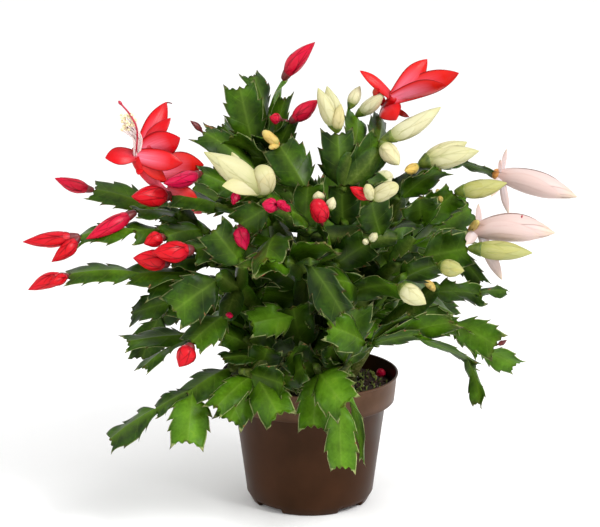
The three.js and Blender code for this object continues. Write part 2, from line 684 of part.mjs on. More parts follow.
// Buds at the ends of back chains, which the picture doesn't show: node, colour, chain, and each
// bud's length, radius, lean to the side and lift, the last two as shares of its length.
const backBuds = [
  ['cream_buds_back_right', 'cream', 'back_1_3', [[24, 5.2, 0.2, 0.3], [15, 4.2, -0.6, 0.2]]],
  ['cream_bud_back', 'cream', 'back_3_1', [[27, 6, 0, 0.35]]],
  ['red_bud_back_low', 'red', 'back_2_3', [[24, 5.6, -0.2, 0.2]]],
  ['red_buds_back_high', 'red', 'back_5_1', [[26, 5.8, 0.25, 0.3], [17, 4.6, -0.5, 0.1]]],
  ['red_buds_back_left', 'red', 'back_6_2', [[25, 5.6, 0.1, 0.2], [16, 4.4, -0.7, 0.1]]],
];

// Where a bud or bloom sits: just clear of the cut-off tip of its limb's last segment.
function budSeat(name) {
  const blade = limbs.get(name).segments.at(-1);
  return placeOn(blade, budAt + budStand / blade.length, 0, 0);
}

// Blooms.

const tubeRings = [[0, 0], [0.1, 0.5], [0.6, 0.8], [0.9, 1], [1, 0]];
const tubeSides = 6;
const petalBow = 0.08;
const styleRod = { radius: 1.1, sides: 4, steps: 3 };

// base, mouth and petal tips are points in space; a petal is [share of the tube, tip, width, turn].
function bloomSolids({ base, mouth, radius, petals, style }, grow) {
  const parts = [turned(base, mouth, radius, tubeRings, tubeSides, grow)];
  for (const [share, tip, width, turn] of petals) {
    const root = base.clone().lerp(mouth, share);
    parts.push(stripSolid(strip(root, tip, width, turn, petalBow, petalProfile), grow));
  }
  if (style.length > 0) {
    const points = [mouth.clone().lerp(base, 0.3), ...style];
    parts.push(rod(points, styleRod.radius + grow, styleRod.sides, styleRod.steps));
  }
  return parts;
}

// A bloom's node, colour, limb, mouth and tube radius, then its petals and style. A petal is
// [share of the tube, pixel across, pixel down, depth, width, turn from facing the viewer].
const blooms = [
  ['red_bloom_left', 'red', 'redArm', [138, 153, -60], 6, [
    [0.85, 166, 102, -44, 12, 10], [0.85, 170, 119, -56, 10, -20], [0.9, 180, 139, -66, 17, 15],
    [0.9, 183, 163, -68, 13, 10], [0.5, 204, 168, -36, 16, 20], [0.6, 163, 183, -62, 10, 0],
    [0.85, 105, 157, -66, 13, 40], [0.6, 136, 175, -70, 8, 20], [0.15, 199, 203, -50, 14, 10]],
    [[133, 132, -78], [121, 104, -80]]],
  ['red_bloom_right', 'red', 'redHold', [395, 92, -12], 5.4, [
    [0.8, 427, 59, -4, 15, 10], [0.8, 459, 73, -16, 17, 15], [0.8, 446, 85, -28, 15, 40],
    [0.4, 359, 72, -10, 12, 30], [0.4, 374, 88, -24, 9, 0], [0.2, 391, 120, -26, 15, 0],
    [0.3, 409, 117, -18, 8, 40]],
    []],
  ['pink_bloom_upper', 'pink', 'edgeArm', [524, 182, -14], 7.4, [
    [0.15, 575, 197, -22, 21, 10], [0.2, 560, 196, -32, 16, 50], [0.15, 567, 181, -4, 18, -30],
    [0.3, 507, 149, -12, 7, 20], [0.3, 499, 160, -26, 6, 30], [0.3, 492, 197, -22, 9, 0],
    [0.3, 509, 214, -14, 9, 20]],
    []],
  ['pink_bloom_lower', 'pink', 'paleArm', [507, 228, -60], 7.6, [
    [0.15, 553, 232, -68, 22, 5], [0.15, 545, 220, -48, 17, -40], [0.2, 538, 238, -78, 15, 50],
    [0.3, 480, 204, -56, 9, 20], [0.3, 468, 242, -66, 9, 0], [0.35, 500, 279, -62, 11, 10]],
    []],
  ['cream_bloom_opening', 'cream', 'roundArm', [234, 174, -94], 6, [
    [0.3, 206, 154, -98, 18, 10], [0.3, 221, 150, -86, 13, -30], [0.3, 239, 157, -84, 12, 0],
    [0.3, 222, 186, -108, 14, 30]],
    []],
];

for (const [name, look, limb, mouth, radius, petals, style] of blooms) {
  const bloom = {
    base: budSeat(limb),
    mouth: seen(...mouth),
    radius,
    petals: petals.map(([share, px, py, depth, ...flat]) => [share, seen(px, py, depth), ...flat]),
    style: style.map((point) => seen(...point)),
  };
  addGrown(name, (grow) => bloomSolids(bloom, grow), looks[look]);
}

for (const [name, look, limb, tips] of buds) {
  const base = budSeat(limb);
  const make = (grow) => tips.map(([px, py, further, radius]) => (
    budSolid(base, seen(px, py, base.y + further), radius, grow)));
  addGrown(name, make, looks[look]);
}

for (const [name, look, chain, sizes] of backBuds) {
  const { axis, side } = limbs.get(chain).segments.at(-1);
  const base = budSeat(chain);
  const make = (grow) => sizes.map(([length, radius, lean, lift]) => {
    const way = axis.clone().addScaledVector(side, lean);
    way.z += lift;
    return budSolid(base, base.clone().addScaledVector(way.normalize(), length), radius, grow);
  });
  addGrown(name, make, looks[look]);
}

// A fallen bud lies on the soil by the wall.
const fallen = {
  from: new THREE.Vector3(47, 27.6, 81.9),
  to: new THREE.Vector3(51.3, 17.4, 81.7),
  radius: 2.8,
};
const fallenParts = (grow) => [budSolid(fallen.from, fallen.to, fallen.radius, grow)];
addGrown('red_bud_fallen', fallenParts, looks.red);
addMesh('soil', soilSolid().subtract(fallenParts(seat)[0]), looks.soil);

export default group;
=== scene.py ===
# Potted christmas cactus: the looks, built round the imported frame.
# Places are worked out in millimetres by the same rule as the solids, and makePiece turns them into metres.
import json
import math
import time
import bpy
import numpy as np
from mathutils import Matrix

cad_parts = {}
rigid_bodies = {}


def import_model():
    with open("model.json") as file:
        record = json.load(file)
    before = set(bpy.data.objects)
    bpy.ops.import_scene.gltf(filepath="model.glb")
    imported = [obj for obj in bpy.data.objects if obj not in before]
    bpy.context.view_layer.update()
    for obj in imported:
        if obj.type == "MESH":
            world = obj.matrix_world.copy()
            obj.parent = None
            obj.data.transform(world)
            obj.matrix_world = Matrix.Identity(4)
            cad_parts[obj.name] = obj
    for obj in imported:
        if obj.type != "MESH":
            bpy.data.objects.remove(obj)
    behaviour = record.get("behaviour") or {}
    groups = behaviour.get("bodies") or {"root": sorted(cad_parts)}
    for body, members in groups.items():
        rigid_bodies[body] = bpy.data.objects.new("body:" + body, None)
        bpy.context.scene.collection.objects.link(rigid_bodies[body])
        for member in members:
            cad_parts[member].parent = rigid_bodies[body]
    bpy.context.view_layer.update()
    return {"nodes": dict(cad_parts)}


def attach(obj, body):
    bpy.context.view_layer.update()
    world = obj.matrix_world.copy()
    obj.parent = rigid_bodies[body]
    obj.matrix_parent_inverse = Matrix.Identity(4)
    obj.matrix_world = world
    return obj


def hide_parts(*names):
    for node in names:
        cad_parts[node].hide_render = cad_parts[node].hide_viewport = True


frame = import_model()
started = time.time()
print("frame loaded,", len(frame["nodes"]), "nodes")

millimetre = 0.001

# How the photograph's pixels map to the plant's own frame
viewer = {"x": -6.8, "y": -1550, "z": 545, "pitch": 13.77, "focal": 2374, "midX": 300, "midY": 263.5}
viewPoint = np.array([viewer["x"], viewer["y"], viewer["z"]], float)


def seen(px, py, depth):
    pitch = math.radians(viewer["pitch"])
    up = viewer["midY"] - py
    run = viewer["focal"] * math.cos(pitch) + up * math.sin(pitch)
    rise = up * math.cos(pitch) - viewer["focal"] * math.sin(pitch)
    reach = (depth - viewer["y"]) / run
    return np.array([viewer["x"] + (px - viewer["midX"]) * reach, depth, viewer["z"] + rise * reach])


def seeded(seed):
    state = seed

    def draw():
        nonlocal state
        state = (state + 0x6D2B79F5) & 0xFFFFFFFF
        mix = ((state ^ (state >> 15)) * (1 | state)) & 0xFFFFFFFF
        mix = ((mix + ((mix ^ (mix >> 7)) * (61 | mix) & 0xFFFFFFFF)) & 0xFFFFFFFF) ^ mix
        return (mix ^ (mix >> 14)) / 4294967296

    return draw


def unit(vector):
    return vector / np.linalg.norm(vector)


# Camera at the photograph's angle

cameraSettings = {"lens": 142.4, "sensor": 36, "clip": 50}


def addCamera():
    data = bpy.data.cameras.new("studio_camera")
    data.lens = cameraSettings["lens"]
    data.sensor_width = cameraSettings["sensor"]
    data.clip_end = cameraSettings["clip"]
    camera = bpy.data.objects.new("studio_camera", data)
    bpy.context.scene.collection.objects.link(camera)
    camera.location = viewPoint * millimetre
    camera.rotation_euler = (math.radians(90 - viewer["pitch"]), 0, 0)
    bpy.context.scene.camera = camera


addCamera()
print("camera placed")


# Where the segments grow: the same rule and numbers as the solids have

pot = {
    "height": 90,
    "lipRadius": 60,
    "bandHeight": 19.5,
    "bandRadius": 57.4,
    "shoulderRadius": 51.6,
    "footRadius": 43.2,
    "baseRadius": 39,
    "bevel": 7,
    "wall": 1.3,
    "floor": 2.2,
    "drains": 4,
    "drainWidth": 21,
    "drainHeight": 4,
    "sides": 192,
}
soilTop = 79
soilHill = 1.8
peg = {"radius": 2.3, "depth": 9}
growth = {
    "bladeClear": 0.5,
    "shortReach": 22,
    "stalkWidth": 12,
    "stalkWider": 3,
    "stalkLength": 54,
    "forkAt": 0.82,
    "budAt": 0.94,
    "budStand": 0.6,
    "leafThick": 1.4,
    "stalkThick": 2.0,
    "bow": 0.03,
    "moreBow": 0.05,
}
# The room a segment needs to the pot's rim and wall, to the soil and beside its neighbours, and how
# much more it counts to cross the pot or another stem than a segment of its own stem
room = {"rim": 3, "wall": 7, "soil": 2, "beside": 1, "near": 14, "foreign": 3}
# Where a segment is tried against the others, and its girth there
probes = {"rows": 7, "columns": 5, "first": 0.1, "step": 0.15}
girth = {"from": -0.05, "to": 1.08, "foot": 0.2, "swell": 2.2}
blades = []
limbs = {}


def makeBlade(base, tip, width, turn, bow, kind):
    axis = tip - base
    length = float(np.linalg.norm(axis))
    axis = axis / length
    toward = viewPoint - base
    facing = unit(toward - axis * float(toward @ axis))
    angle = math.radians(turn)
    facing = facing * math.cos(angle) + np.cross(axis, facing) * math.sin(angle)
    side = np.cross(facing, axis)
    return {
        "base": base,
        "axis": axis,
        "side": side,
        "facing": facing,
        "length": length,
        "half": width / 2,
        "thick": growth["leafThick"] if kind == "leaf" else growth["stalkThick"],
        "crown": bow * length * (-1 if facing[2] < 0 else 1),
        "kind": kind,
    }


def arch(blade, along):
    t = np.clip(along, 0, 1)
    return blade["crown"] * 4 * t * (1 - t)


def placeOn(blade, along):
    return blade["base"] + blade["axis"] * (along * blade["length"]) + blade["facing"] * arch(blade, along)


def pointsOn(blade, along, across, lift):
    return (
        blade["base"]
        + (along * blade["length"])[..., None] * blade["axis"]
        + across[..., None] * blade["side"]
        + lift[..., None] * blade["facing"]
    )


def bowOf(random):
    return growth["bow"] + growth["moreBow"] * random()


probeAlong = probes["first"] + np.repeat(np.arange(probes["rows"]), probes["columns"]) * probes["step"]
probeAcross = np.tile(np.linspace(-1, 1, probes["columns"]), probes["rows"])


def girths(half, along):
    inside = (along >= girth["from"]) & (along <= girth["to"])
    return np.where(inside, half * np.minimum(1, girth["foot"] + girth["swell"] * np.maximum(along, 0)), 0)


def probePoints(blade):
    across = probeAcross * girths(blade["half"], probeAlong)
    return pointsOn(blade, probeAlong, across, arch(blade, probeAlong))


flatNames = ("base", "axis", "side", "facing", "length", "half", "crown")


def countWithin(points, flats, gaps):
    reach = points - flats["base"][:, None, :]
    along = np.einsum("nkc,nc->nk", reach, flats["axis"]) / flats["length"][:, None]
    wide = girths(flats["half"][:, None], along)
    t = np.clip(along, 0, 1)
    lift = flats["crown"][:, None] * 4 * t * (1 - t)
    beside = np.abs(np.einsum("nkc,nc->nk", reach, flats["side"])) <= wide + room["beside"]
    near = np.abs(np.einsum("nkc,nc->nk", reach, flats["facing"]) - lift) < gaps[:, None]
    return ((wide > 0) & beside & near).sum(axis=1)


def clashes(blade, others):
    mine = probePoints(blade)
    radius = np.hypot(mine[:, 0], mine[:, 1])
    low = (mine[:, 2] <= pot["height"] + room["rim"]) & (radius <= pot["lipRadius"] + room["rim"])
    buried = mine[:, 2] < soilTop + soilHill + room["soil"]
    count = int((low & ((radius > pot["lipRadius"] - room["wall"]) | buried)).sum()) * room["foreign"]
    if others is None:
        return count
    far = (others["length"] + blade["length"]) * 0.5 + room["near"]
    pick = np.linalg.norm(others["centre"] - placeOn(blade, 0.5), axis=1) <= far
    if not pick.any():
        return count
    near = {key: value[pick] for key, value in others.items()}
    weight = np.where(near["stem"] == blade["stemIndex"], 1, room["foreign"])
    gap = blade["thick"] + near["thick"] + growth["bladeClear"]
    own = {name: np.repeat(np.array([blade[name]]), len(gap), axis=0) for name in flatNames}
    hits = countWithin(mine[None], near, gap) + countWithin(near["probes"], own, gap)
    return count + int((weight * hits).sum())


nudges = [0, -6, 6, -12, 12, -18, 18, -25, 25]
turns = [0, 22, -22, 45]
leans = [0, 8, -8, 16, -16]


def othersFor(stemIndex, parent):
    picked = [
        b
        for b in blades
        if b is not parent and not (b["parent"] is parent and b["stemIndex"] == stemIndex)
    ]
    if not picked:
        return None
    names = flatNames + ("thick", "centre", "probes")
    packed = {name: np.array([b[name] for b in picked]) for name in names}
    packed["stem"] = np.array([b["stemIndex"] for b in picked])
    return packed


# The first try that crosses nothing is taken, or else the one that crosses least
def growBlade(stemIndex, parent, aim, width, turn, bow, kind):
    base = placeOn(parent, growth["forkAt"])
    sight = unit(aim - viewPoint)
    across = unit(np.cross([0, 0, 1], sight))
    others = othersFor(stemIndex, parent)
    best, least = None, math.inf
    mayLean = leans if kind == "stalk" else leans[:1]
    for lean, extra, shift in [(a, b, c) for a in mayLean for b in turns for c in nudges]:
        tip = aim + sight * shift + across * lean
        blade = makeBlade(base, tip, width, turn + extra, bow, kind)
        blade["stemIndex"] = stemIndex
        count = clashes(blade, others)
        if count < least:
            best, least = blade, count
        if least == 0:
            break
    best.update(parent=parent, centre=placeOn(best, 0.5), probes=probePoints(best))
    blades.append(best)
    return best


# The old part of a stem: from its root it rises first, from another limb it bends gently
stalkRoute = {"rootRise": 0.62, "leastDrop": 30, "rootLift": 8, "rise": 0.2, "bendAt": 0.3, "steps": 201}


def bentWay(first, bend, last, t):
    return (1 - t) ** 2 * first + 2 * (1 - t) * t * bend + t * t * last


def reachTo(stemIndex, source, start, random):
    first = placeOn(source, growth["forkAt"])
    if float(np.linalg.norm(first - start)) < growth["shortReach"]:
        return source
    drop = start[2] - first[2]
    bend = first + (start - first) * stalkRoute["bendAt"]
    if source["parent"] is None:
        drop = max(drop, stalkRoute["leastDrop"])
        bend[2] = first[2] + stalkRoute["rootRise"] * drop + stalkRoute["rootLift"]
    else:
        bend[2] = first[2] + stalkRoute["rise"] * drop
    route = bentWay(first, bend, start, np.linspace(0, 1, stalkRoute["steps"])[:, None])
    total = float(np.linalg.norm(np.diff(route, axis=0), axis=1).sum())
    count = max(1, math.floor(total / growth["stalkLength"] + 0.5))
    last = source
    for k in range(1, count + 1):
        wider = growth["stalkWider"]
        width = growth["stalkWidth"] + wider * random() + (wider if k > 1 else 0)
        point = bentWay(first, bend, start, k / count)
        last = growBlade(stemIndex, last, point, width, random() * 180, growth["bow"], "stalk")
    return last


def rootOf(x, y):
    base = np.array([x, y, soilTop - peg["depth"]], float)
    tip = np.array([x, y, soilTop + 7], float)
    root = makeBlade(base, tip, peg["radius"] * 2, 0, 0, "stalk")
    root["parent"] = None
    return root


# Each stem: its name, its root in the soil, then its limbs. A limb has a name, the limb it forks from
# and which of that limb's segments, the pixel and depth where its leafy part starts, and its segments
# as [pixel across, pixel down, depth, width, turn].
stems = [
    ["top", -6, 14, [
        ["upright", "root", 0, [270, 238, -5], [
            [262, 188, -12, 24, 35], [252, 139, -18, 25, 15], [239, 84, -12, 26, 0]]],
        ["upperTurned", "upright", 0, [262, 188, -10], [[266, 112, 6, 22, 50], [251, 73, 10, 22, 50]]],
        ["peak", "upright", 0, [262, 188, -10], [[220, 121, 8, 21, 40]]],
        ["ribbed", "upperTurned", 0, [266, 112, 6], [[284, 78, 0, 15, 80]]],
        ["small", "upright", 0, [270, 160, 0], [[285, 94, -6, 14, 30]]],
        ["budFoot", "upright", 0, [274, 156, -22], [[291, 120, -26, 15, 30]]],
    ]],
    ["left_high", -16, 6, [
        ["shade", "root", 0, [268, 205, -25], [[258, 165, -25, 22, 30], [200, 131, -15, 24, 35]]],
        ["budArm", "shade", -1, [240, 192, -42], [[199, 172, -48, 21, 45]]],
        ["redArm", "shade", -1, [214, 207, -48], [[168, 196, -52, 23, 55]]],
    ]],
    ["left", -24, -4, [
        ["leftTop", "root", 0, [190, 220, -30], [[140, 206, -36, 23, 55], [91, 190, -30, 24, 42]]],
        ["leftEdge", "leftTop", -1, [178, 214, -46], [[134, 212, -54, 20, 75]]],
        ["leftMid", "leftTop", -1, [180, 238, -50], [[131, 232, -62, 22, 58], [77, 237, -64, 22, 58]]],
        ["budTwig", "leftTop", -1, [206, 232, -58], [[163, 237, -74, 22, 40]]],
        ["budTwo", "leftTop", -2, [236, 247, -72], [[192, 250, -84, 24, 50]]],
        ["leftFill", "leftTop", -1, [196, 236, -40], [[158, 221, -44, 25, 20]]],
        ["budThree", "leftTop", -2, [212, 264, -72], [[168, 264, -78, 20, 62]]],
    ]],
    ["left_low", -22, -16, [
        ["leftLong", "root", 0, [232, 280, -62], [
            [191, 275, -74, 24, 50], [126, 275, -78, 25, 58], [65, 276, -80, 26, 58]]],
        ["leftWall", "leftLong", -1, [230, 262, -66], [[212, 228, -70, 27, 12]]],
        ["broad", "leftLong", -1, [219, 276, -88], [[171, 313, -104, 30, 8]]],
        ["behindBroad", "leftLong", 0, [193, 280, -80], [[144, 289, -90, 24, 35]]],
        ["lowArm", "leftLong", -1, [226, 320, -84], [[190, 345, -98, 25, 35]]],
    ]],
    ["left_drop", -14, -26, [
        ["thinArm", "root", 0, [243, 338, -62], [[183, 337, -72, 10, 60], [124, 344, -78, 23, 55]]],
        ["edgeDrop", "thinArm", 0, [183, 337, -72], [[141, 369, -92, 22, 78]]],
        ["dropChain", "thinArm", -1, [230, 371, -76], [
            [184, 397, -88, 25, 45], [155, 411, -84, 17, 45], [107, 442, -82, 23, 50]]],
        ["brightDrop", "dropChain", 0, [184, 397, -92], [[187, 446, -110, 27, 0]]],
    ]],
    ["front_left", -3, -33, [
        ["hangOne", "root", 0, [241, 371, -78], [[228, 424, -100, 26, 8]]],
        ["hangTwo", "hangOne", -1, [251, 382, -90], [[213, 410, -90, 18, 40]]],
        ["hangThree", "hangOne", -1, [273, 376, -86], [[280, 417, -108, 27, -5]]],
        ["innerLeft", "hangOne", -1, [262, 356, -50], [[221, 360, -78, 20, 60]]],
    ]],
    ["front", 8, -30, [
        ["hangFour", "root", 0, [316, 366, -80], [[313, 430, -92, 25, 5]]],
        ["hangFive", "hangFour", -1, [327, 360, -88], [[347, 408, -106, 29, 10], [342, 472, -98, 22, 15]]],
        ["sliver", "hangFour", -1, [352, 392, -78], [[363, 462, -80, 20, 72]]],
        ["innerMid", "root", 0, [302, 352, -46], [[292, 304, -60, 26, 12]]],
    ]],
    ["front_right", 18, -24, [
        ["ribStalk", "root", 0, [348, 363, -80], [[372, 343, -92, 12, 50], [411, 312, -98, 16, 60]]],
        ["brightLeaf", "ribStalk", 0, [372, 343, -95], [[327, 326, -114, 25, 25]]],
        ["thinArch", "ribStalk", 0, [372, 343, -95], [
            [423, 334, -96, 13, 50], [480, 366, -92, 16, 70], [481, 406, -94, 20, 64]]],
        ["rightFace", "ribStalk", 0, [385, 335, -100], [[457, 320, -104, 22, 50]]],
        ["innerRight", "ribStalk", -1, [352, 350, -60], [[358, 304, -68, 26, 30]]],
    ]],
    ["right_low", 26, -12, [
        ["lowRight", "root", 0, [424, 306, -56], [[460, 325, -66, 22, 45], [499, 346, -62, 25, 22]]],
        ["paleTip", "lowRight", 0, [460, 325, -62], [[484, 355, -48, 18, 45], [518, 366, -40, 21, 45]]],
        ["flatRight", "lowRight", -1, [438, 286, -72], [[484, 294, -80, 25, 50], [508, 290, -76, 15, 64]]],
    ]],
    ["right", 24, 2, [
        ["rightBud", "root", 0, [398, 262, -56], [[427, 256, -62, 22, 35], [470, 248, -66, 29, 12]]],
        ["paleArm", "rightBud", -1, [414, 238, -48], [[471, 231, -52, 18, 58]]],
        ["heart", "rightBud", -1, [436, 222, -28], [[473, 207, -22, 27, 15]]],
        ["creamArm", "rightBud", -2, [404, 276, -84], [[440, 264, -94, 23, 40]]],
        ["midFace", "rightBud", -2, [380, 290, -98], [[334, 280, -112, 25, 50]]],
        ["midBud", "rightBud", -2, [364, 292, -96], [[401, 286, -108, 23, 45]]],
    ]],
    ["right_high", 14, 12, [
        ["rightTop", "root", 0, [396, 222, -36], [[428, 222, -52, 22, 35], [456, 191, -52, 25, 25]]],
        ["wideTop", "rightTop", 0, [428, 226, -58], [[420, 196, -76, 26, 10]]],
        ["darkFan", "rightTop", -1, [398, 197, -48], [[443, 168, -56, 20, 45]]],
        ["pairArm", "rightTop", -1, [393, 186, -40], [[420, 164, -46, 18, 55]]],
        ["edgeArm", "rightTop", -1, [424, 168, -6], [[461, 157, -2, 19, 70], [494, 174, -8, 17, 72]]],
    ]],
    ["top_right", 4, 4, [
        ["crown", "root", 0, [345, 222, -54], [[342, 182, -58, 24, 20], [337, 130, -50, 26, 5]]],
        ["crownTwo", "crown", 0, [356, 178, -56], [[383, 139, -46, 25, 28]]],
        ["crownSide", "crown", -1, [352, 216, -50], [[370, 180, -48, 26, 25]]],
        ["crownBack", "crown", 0, [350, 152, -28], [[356, 115, -16, 23, 20]]],
        ["redHold", "crown", 0, [366, 150, -22], [[381, 114, -8, 17, 30]]],
    ]],
    ["centre", -6, -10, [
        ["centreTop", "root", 0, [304, 226, -76], [[308, 182, -72, 23, 20], [278, 143, -56, 28, 8]]],
        ["faceTop", "centreTop", -1, [296, 214, -62], [[284, 178, -62, 27, 12]]],
        ["roundArm", "centreTop", -1, [284, 216, -78], [[262, 194, -84, 20, 48]]],
        ["hangBud", "centreTop", -1, [262, 200, -88], [[237, 226, -100, 22, 20]]],
        ["shelfOne", "centreTop", -2, [287, 262, -104], [[246, 269, -122, 25, 58]]],
        ["shelfTwo", "centreTop", -2, [287, 258, -104], [[328, 241, -116, 25, 55]]],
        ["slope", "centreTop", -2, [311, 262, -108], [[345, 316, -126, 25, 30]]],
        ["face", "centreTop", -2, [276, 224, -92], [[266, 264, -110, 27, 0]]],
        ["magentaArm", "centreTop", -1, [310, 230, -92], [[289, 210, -102, 17, 66]]],
        ["roundHold", "centreTop", -2, [338, 252, -98], [[322, 224, -110, 17, 60]]],
        ["ovalHold", "centreTop", -1, [372, 238, -84], [[371, 198, -88, 25, 15]]],
        ["dots", "centreTop", -2, [350, 266, -98], [[371, 241, -106, 25, 25]]],
    ]],
]
stemNames = []
roots = []


def growLimb(stemIndex, root, row, random):
    name, fromName, fromIndex, start, segments = row
    source = root if fromName == "root" else limbs[fromName][max(fromIndex, 0)]
    for _ in range(-fromIndex):
        source = source["parent"]
    last = reachTo(stemIndex, source, seen(*start), random)
    made = []
    for px, py, depth, width, turn in segments:
        last = growBlade(stemIndex, last, seen(px, py, depth), width, turn, bowOf(random), "leaf")
        last["limb"] = name
        made.append(last)
    limbs[name] = made


def heading(azimuth, slope):
    flat = math.cos(slope)
    return np.array([math.cos(azimuth) * flat, math.sin(azimuth) * flat, math.sin(slope)])


# A chain of segments at the back, which the photo can't show
backChain = {"length": 36, "longer": 8, "width": 23, "wider": 5, "turn": 120, "droop": 0.35, "veer": 0.7}


def growChain(stemIndex, source, azimuth, slope, count, random):
    last, tilt, way = source, slope, azimuth
    for _ in range(count):
        base = placeOn(last, growth["forkAt"])
        aim = base + heading(way, tilt) * (backChain["length"] + backChain["longer"] * random())
        width = backChain["width"] + backChain["wider"] * random()
        turn = random() * backChain["turn"] - backChain["turn"] / 2
        last = growBlade(stemIndex, last, aim, width, turn, bowOf(random), "leaf")
        last["limb"] = "back"
        tilt -= backChain["droop"] + backChain["droop"] * random()
        way += (random() - 0.5) * backChain["veer"]
    return last


# The stems at the back, high and low in turn: their roots' ring, and each chain's veer, lift and length
back = {"stems": 6, "ring": 31, "from": 30, "to": 150}
backForms = [
    {"out": 42, "level": 140, "rise": 60, "slope": 0.45},
    {"out": 76, "level": 132, "rise": 0, "slope": 0.1},
]
backChains = [[0, 0, 3], [-0.75, -0.1, 2], [0.75, 0.15, 2], [2.6, 0.4, 1]]


def addRoot(stem, x, y):
    root = rootOf(x, y)
    roots.append(root)
    stemNames.append(stem)
    return root


def growPlant():
    for index, (stem, x, y, rows) in enumerate(stems):
        random = seeded(100 + index)
        root = addRoot(stem, x, y)
        for row in rows:
            growLimb(index, root, row, random)
    for k in range(back["stems"]):
        index = len(stemNames)
        random = seeded(700 + k)
        form = backForms[k % 2]
        azimuth = math.radians(back["from"] + ((back["to"] - back["from"]) / (back["stems"] - 1)) * k)
        x, y = math.cos(azimuth), math.sin(azimuth)
        root = addRoot(f"back_{k + 1}", x * back["ring"], y * back["ring"])
        start = np.array([x * form["out"], y * form["out"], form["level"] + form["rise"] * y])
        top = reachTo(index, root, start, random)
        for chain, (veer, lift, count) in enumerate(backChains):
            end = growChain(index, top, azimuth + veer, form["slope"] + lift, count, random)
            limbs[f"back_{k + 1}_{chain + 1}"] = [end]


growPlant()
print("plant grown,", len(blades), "segments,", round(time.time() - started, 1), "s")


# Meshes: a part is a dictionary of points in millimetres, faces, uv, look and material index


def gridFaces(rows, columns, closed=False):
    r, c = np.meshgrid(np.arange(rows - 1), np.arange(columns if closed else columns - 1), indexing="ij")
    here = r * columns + c
    beside = r * columns + (c + 1) % columns
    return np.stack([here, beside, beside + columns, here + columns], axis=-1).reshape(-1, 4)


def makePart(points, faces, uv=None, look=(0, 0, 0, 0), material=0):
    points = np.asarray(points, float).reshape(-1, 3)
    count = len(points)
    return {
        "points": points,
        "faces": [np.asarray(some, int) for some in faces],
        "uv": np.zeros((count, 2)) if uv is None else np.asarray(uv, float).reshape(-1, 2),
        "look": np.broadcast_to(np.asarray(look, float), (count, 4)),
        "material": material,
    }


def makeMesh(name, parts, materials):
    corners, sizes, kinds = [], [], []
    start = 0
    for part in parts:
        for faces in part["faces"]:
            corners.append((faces + start).ravel())
            sizes.append(np.full(len(faces), faces.shape[1]))
            kinds.append(np.full(len(faces), part["material"]))
        start += len(part["points"])
    points = np.concatenate([part["points"] for part in parts]) * millimetre
    corners, sizes, kinds = (np.concatenate(some) for some in (corners, sizes, kinds))
    mesh = bpy.data.meshes.new(name)
    mesh.vertices.add(len(points))
    mesh.vertices.foreach_set("co", points.ravel())
    mesh.loops.add(len(corners))
    mesh.loops.foreach_set("vertex_index", corners)
    mesh.polygons.add(len(sizes))
    mesh.polygons.foreach_set("loop_start", np.concatenate([[0], np.cumsum(sizes)[:-1]]))
    mesh.polygons.foreach_set("loop_total", sizes)
    for material in materials:
        mesh.materials.append(material)
    mesh.polygons.foreach_set("material_index", kinds)
    mesh.polygons.foreach_set("use_smooth", np.ones(len(sizes), bool))
    mesh.update(calc_edges=True)
    uv = np.concatenate([part["uv"] for part in parts])
    mesh.uv_layers.new(name="UVMap").data.foreach_set("uv", uv[corners].ravel())
    look = np.concatenate([part["look"] for part in parts])
    mesh.attributes.new("look", "FLOAT_COLOR", "POINT").data.foreach_set("color", look.ravel())
    mesh.validate()
    return mesh


def addObject(name, mesh):
    piece = bpy.data.objects.new(name, mesh)
    bpy.context.scene.collection.objects.link(piece)
    return piece


def makePiece(name, parts, materials, stands=()):
    piece = addObject(name, makeMesh(name, parts, materials))
    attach(piece, "root")
    if stands:
        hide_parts(*stands)
    return piece


def curveThrough(stations, count):
    # Catmull-Rom through the stations, evenly spread over them
    rows = np.asarray(stations, float)
    padded = np.vstack([2 * rows[0] - rows[1], rows, 2 * rows[-1] - rows[-2]])
    place = np.linspace(0, len(rows) - 1, count)
    at = np.minimum(place.astype(int), len(rows) - 2)
    t = (place - at)[:, None]
    a, b, c, d = (padded[at + k] for k in range(4))
    square, cube = 2 * a - 5 * b + 4 * c - d, 3 * b - a - 3 * c + d
    return 0.5 * (2 * b + (c - a) * t + square * t ** 2 + cube * t ** 3)


def crossAxes(axis):
    hint = np.array([0, 0, 1.0]) if abs(axis[2]) < 0.9 else np.array([1.0, 0, 0])
    first = unit(np.cross(axis, hint))
    return first, np.cross(axis, first)


def ringUv(sides, along):
    return np.stack([np.tile(np.arange(sides) / sides, len(along)), np.repeat(along, sides)], axis=1)


def ringFaces(count, sides):
    caps = [np.arange(sides)[::-1][None], np.arange(sides)[None] + (count - 1) * sides]
    return [gridFaces(count, sides, True), *caps]


def anglesOf(sides):
    return np.arange(sides) / sides * 2 * math.pi


def spokes(sides, first, second):
    angles = anglesOf(sides)
    return np.outer(np.cos(angles), first) + np.outer(np.sin(angles), second)


def tubePart(points, radii, sides, look=(0, 0, 0, 0), material=0):
    points = np.asarray(points, float)
    radii = np.broadcast_to(np.asarray(radii, float), (len(points),))
    tangents = np.gradient(points, axis=0)
    first, _ = crossAxes(unit(tangents[0]))
    rings = []
    for point, tangent, radius in zip(points, tangents, radii):
        tangent = unit(tangent)
        first = unit(first - tangent * float(first @ tangent))
        rings.append(point + radius * spokes(sides, first, np.cross(tangent, first)))
    count = len(points)
    uv = ringUv(sides, np.linspace(0, 1, count))
    return makePart(np.concatenate(rings), ringFaces(count, sides), uv, look, material)


def revolvePart(base, axis, length, rings, radius, sides, look=(0, 0, 0, 0), material=0, sway=(0, 0, 0)):
    along, wide = np.asarray(rings, float).T
    middle = base + np.outer(along * length, axis) + np.outer(np.sin(np.clip(along, 0, 1) * math.pi), sway)
    points = middle[:, None, :] + (wide * radius)[:, None, None] * spokes(sides, *crossAxes(axis))[None]
    return makePart(points, ringFaces(len(along), sides), ringUv(sides, along), look, material)


# Materials

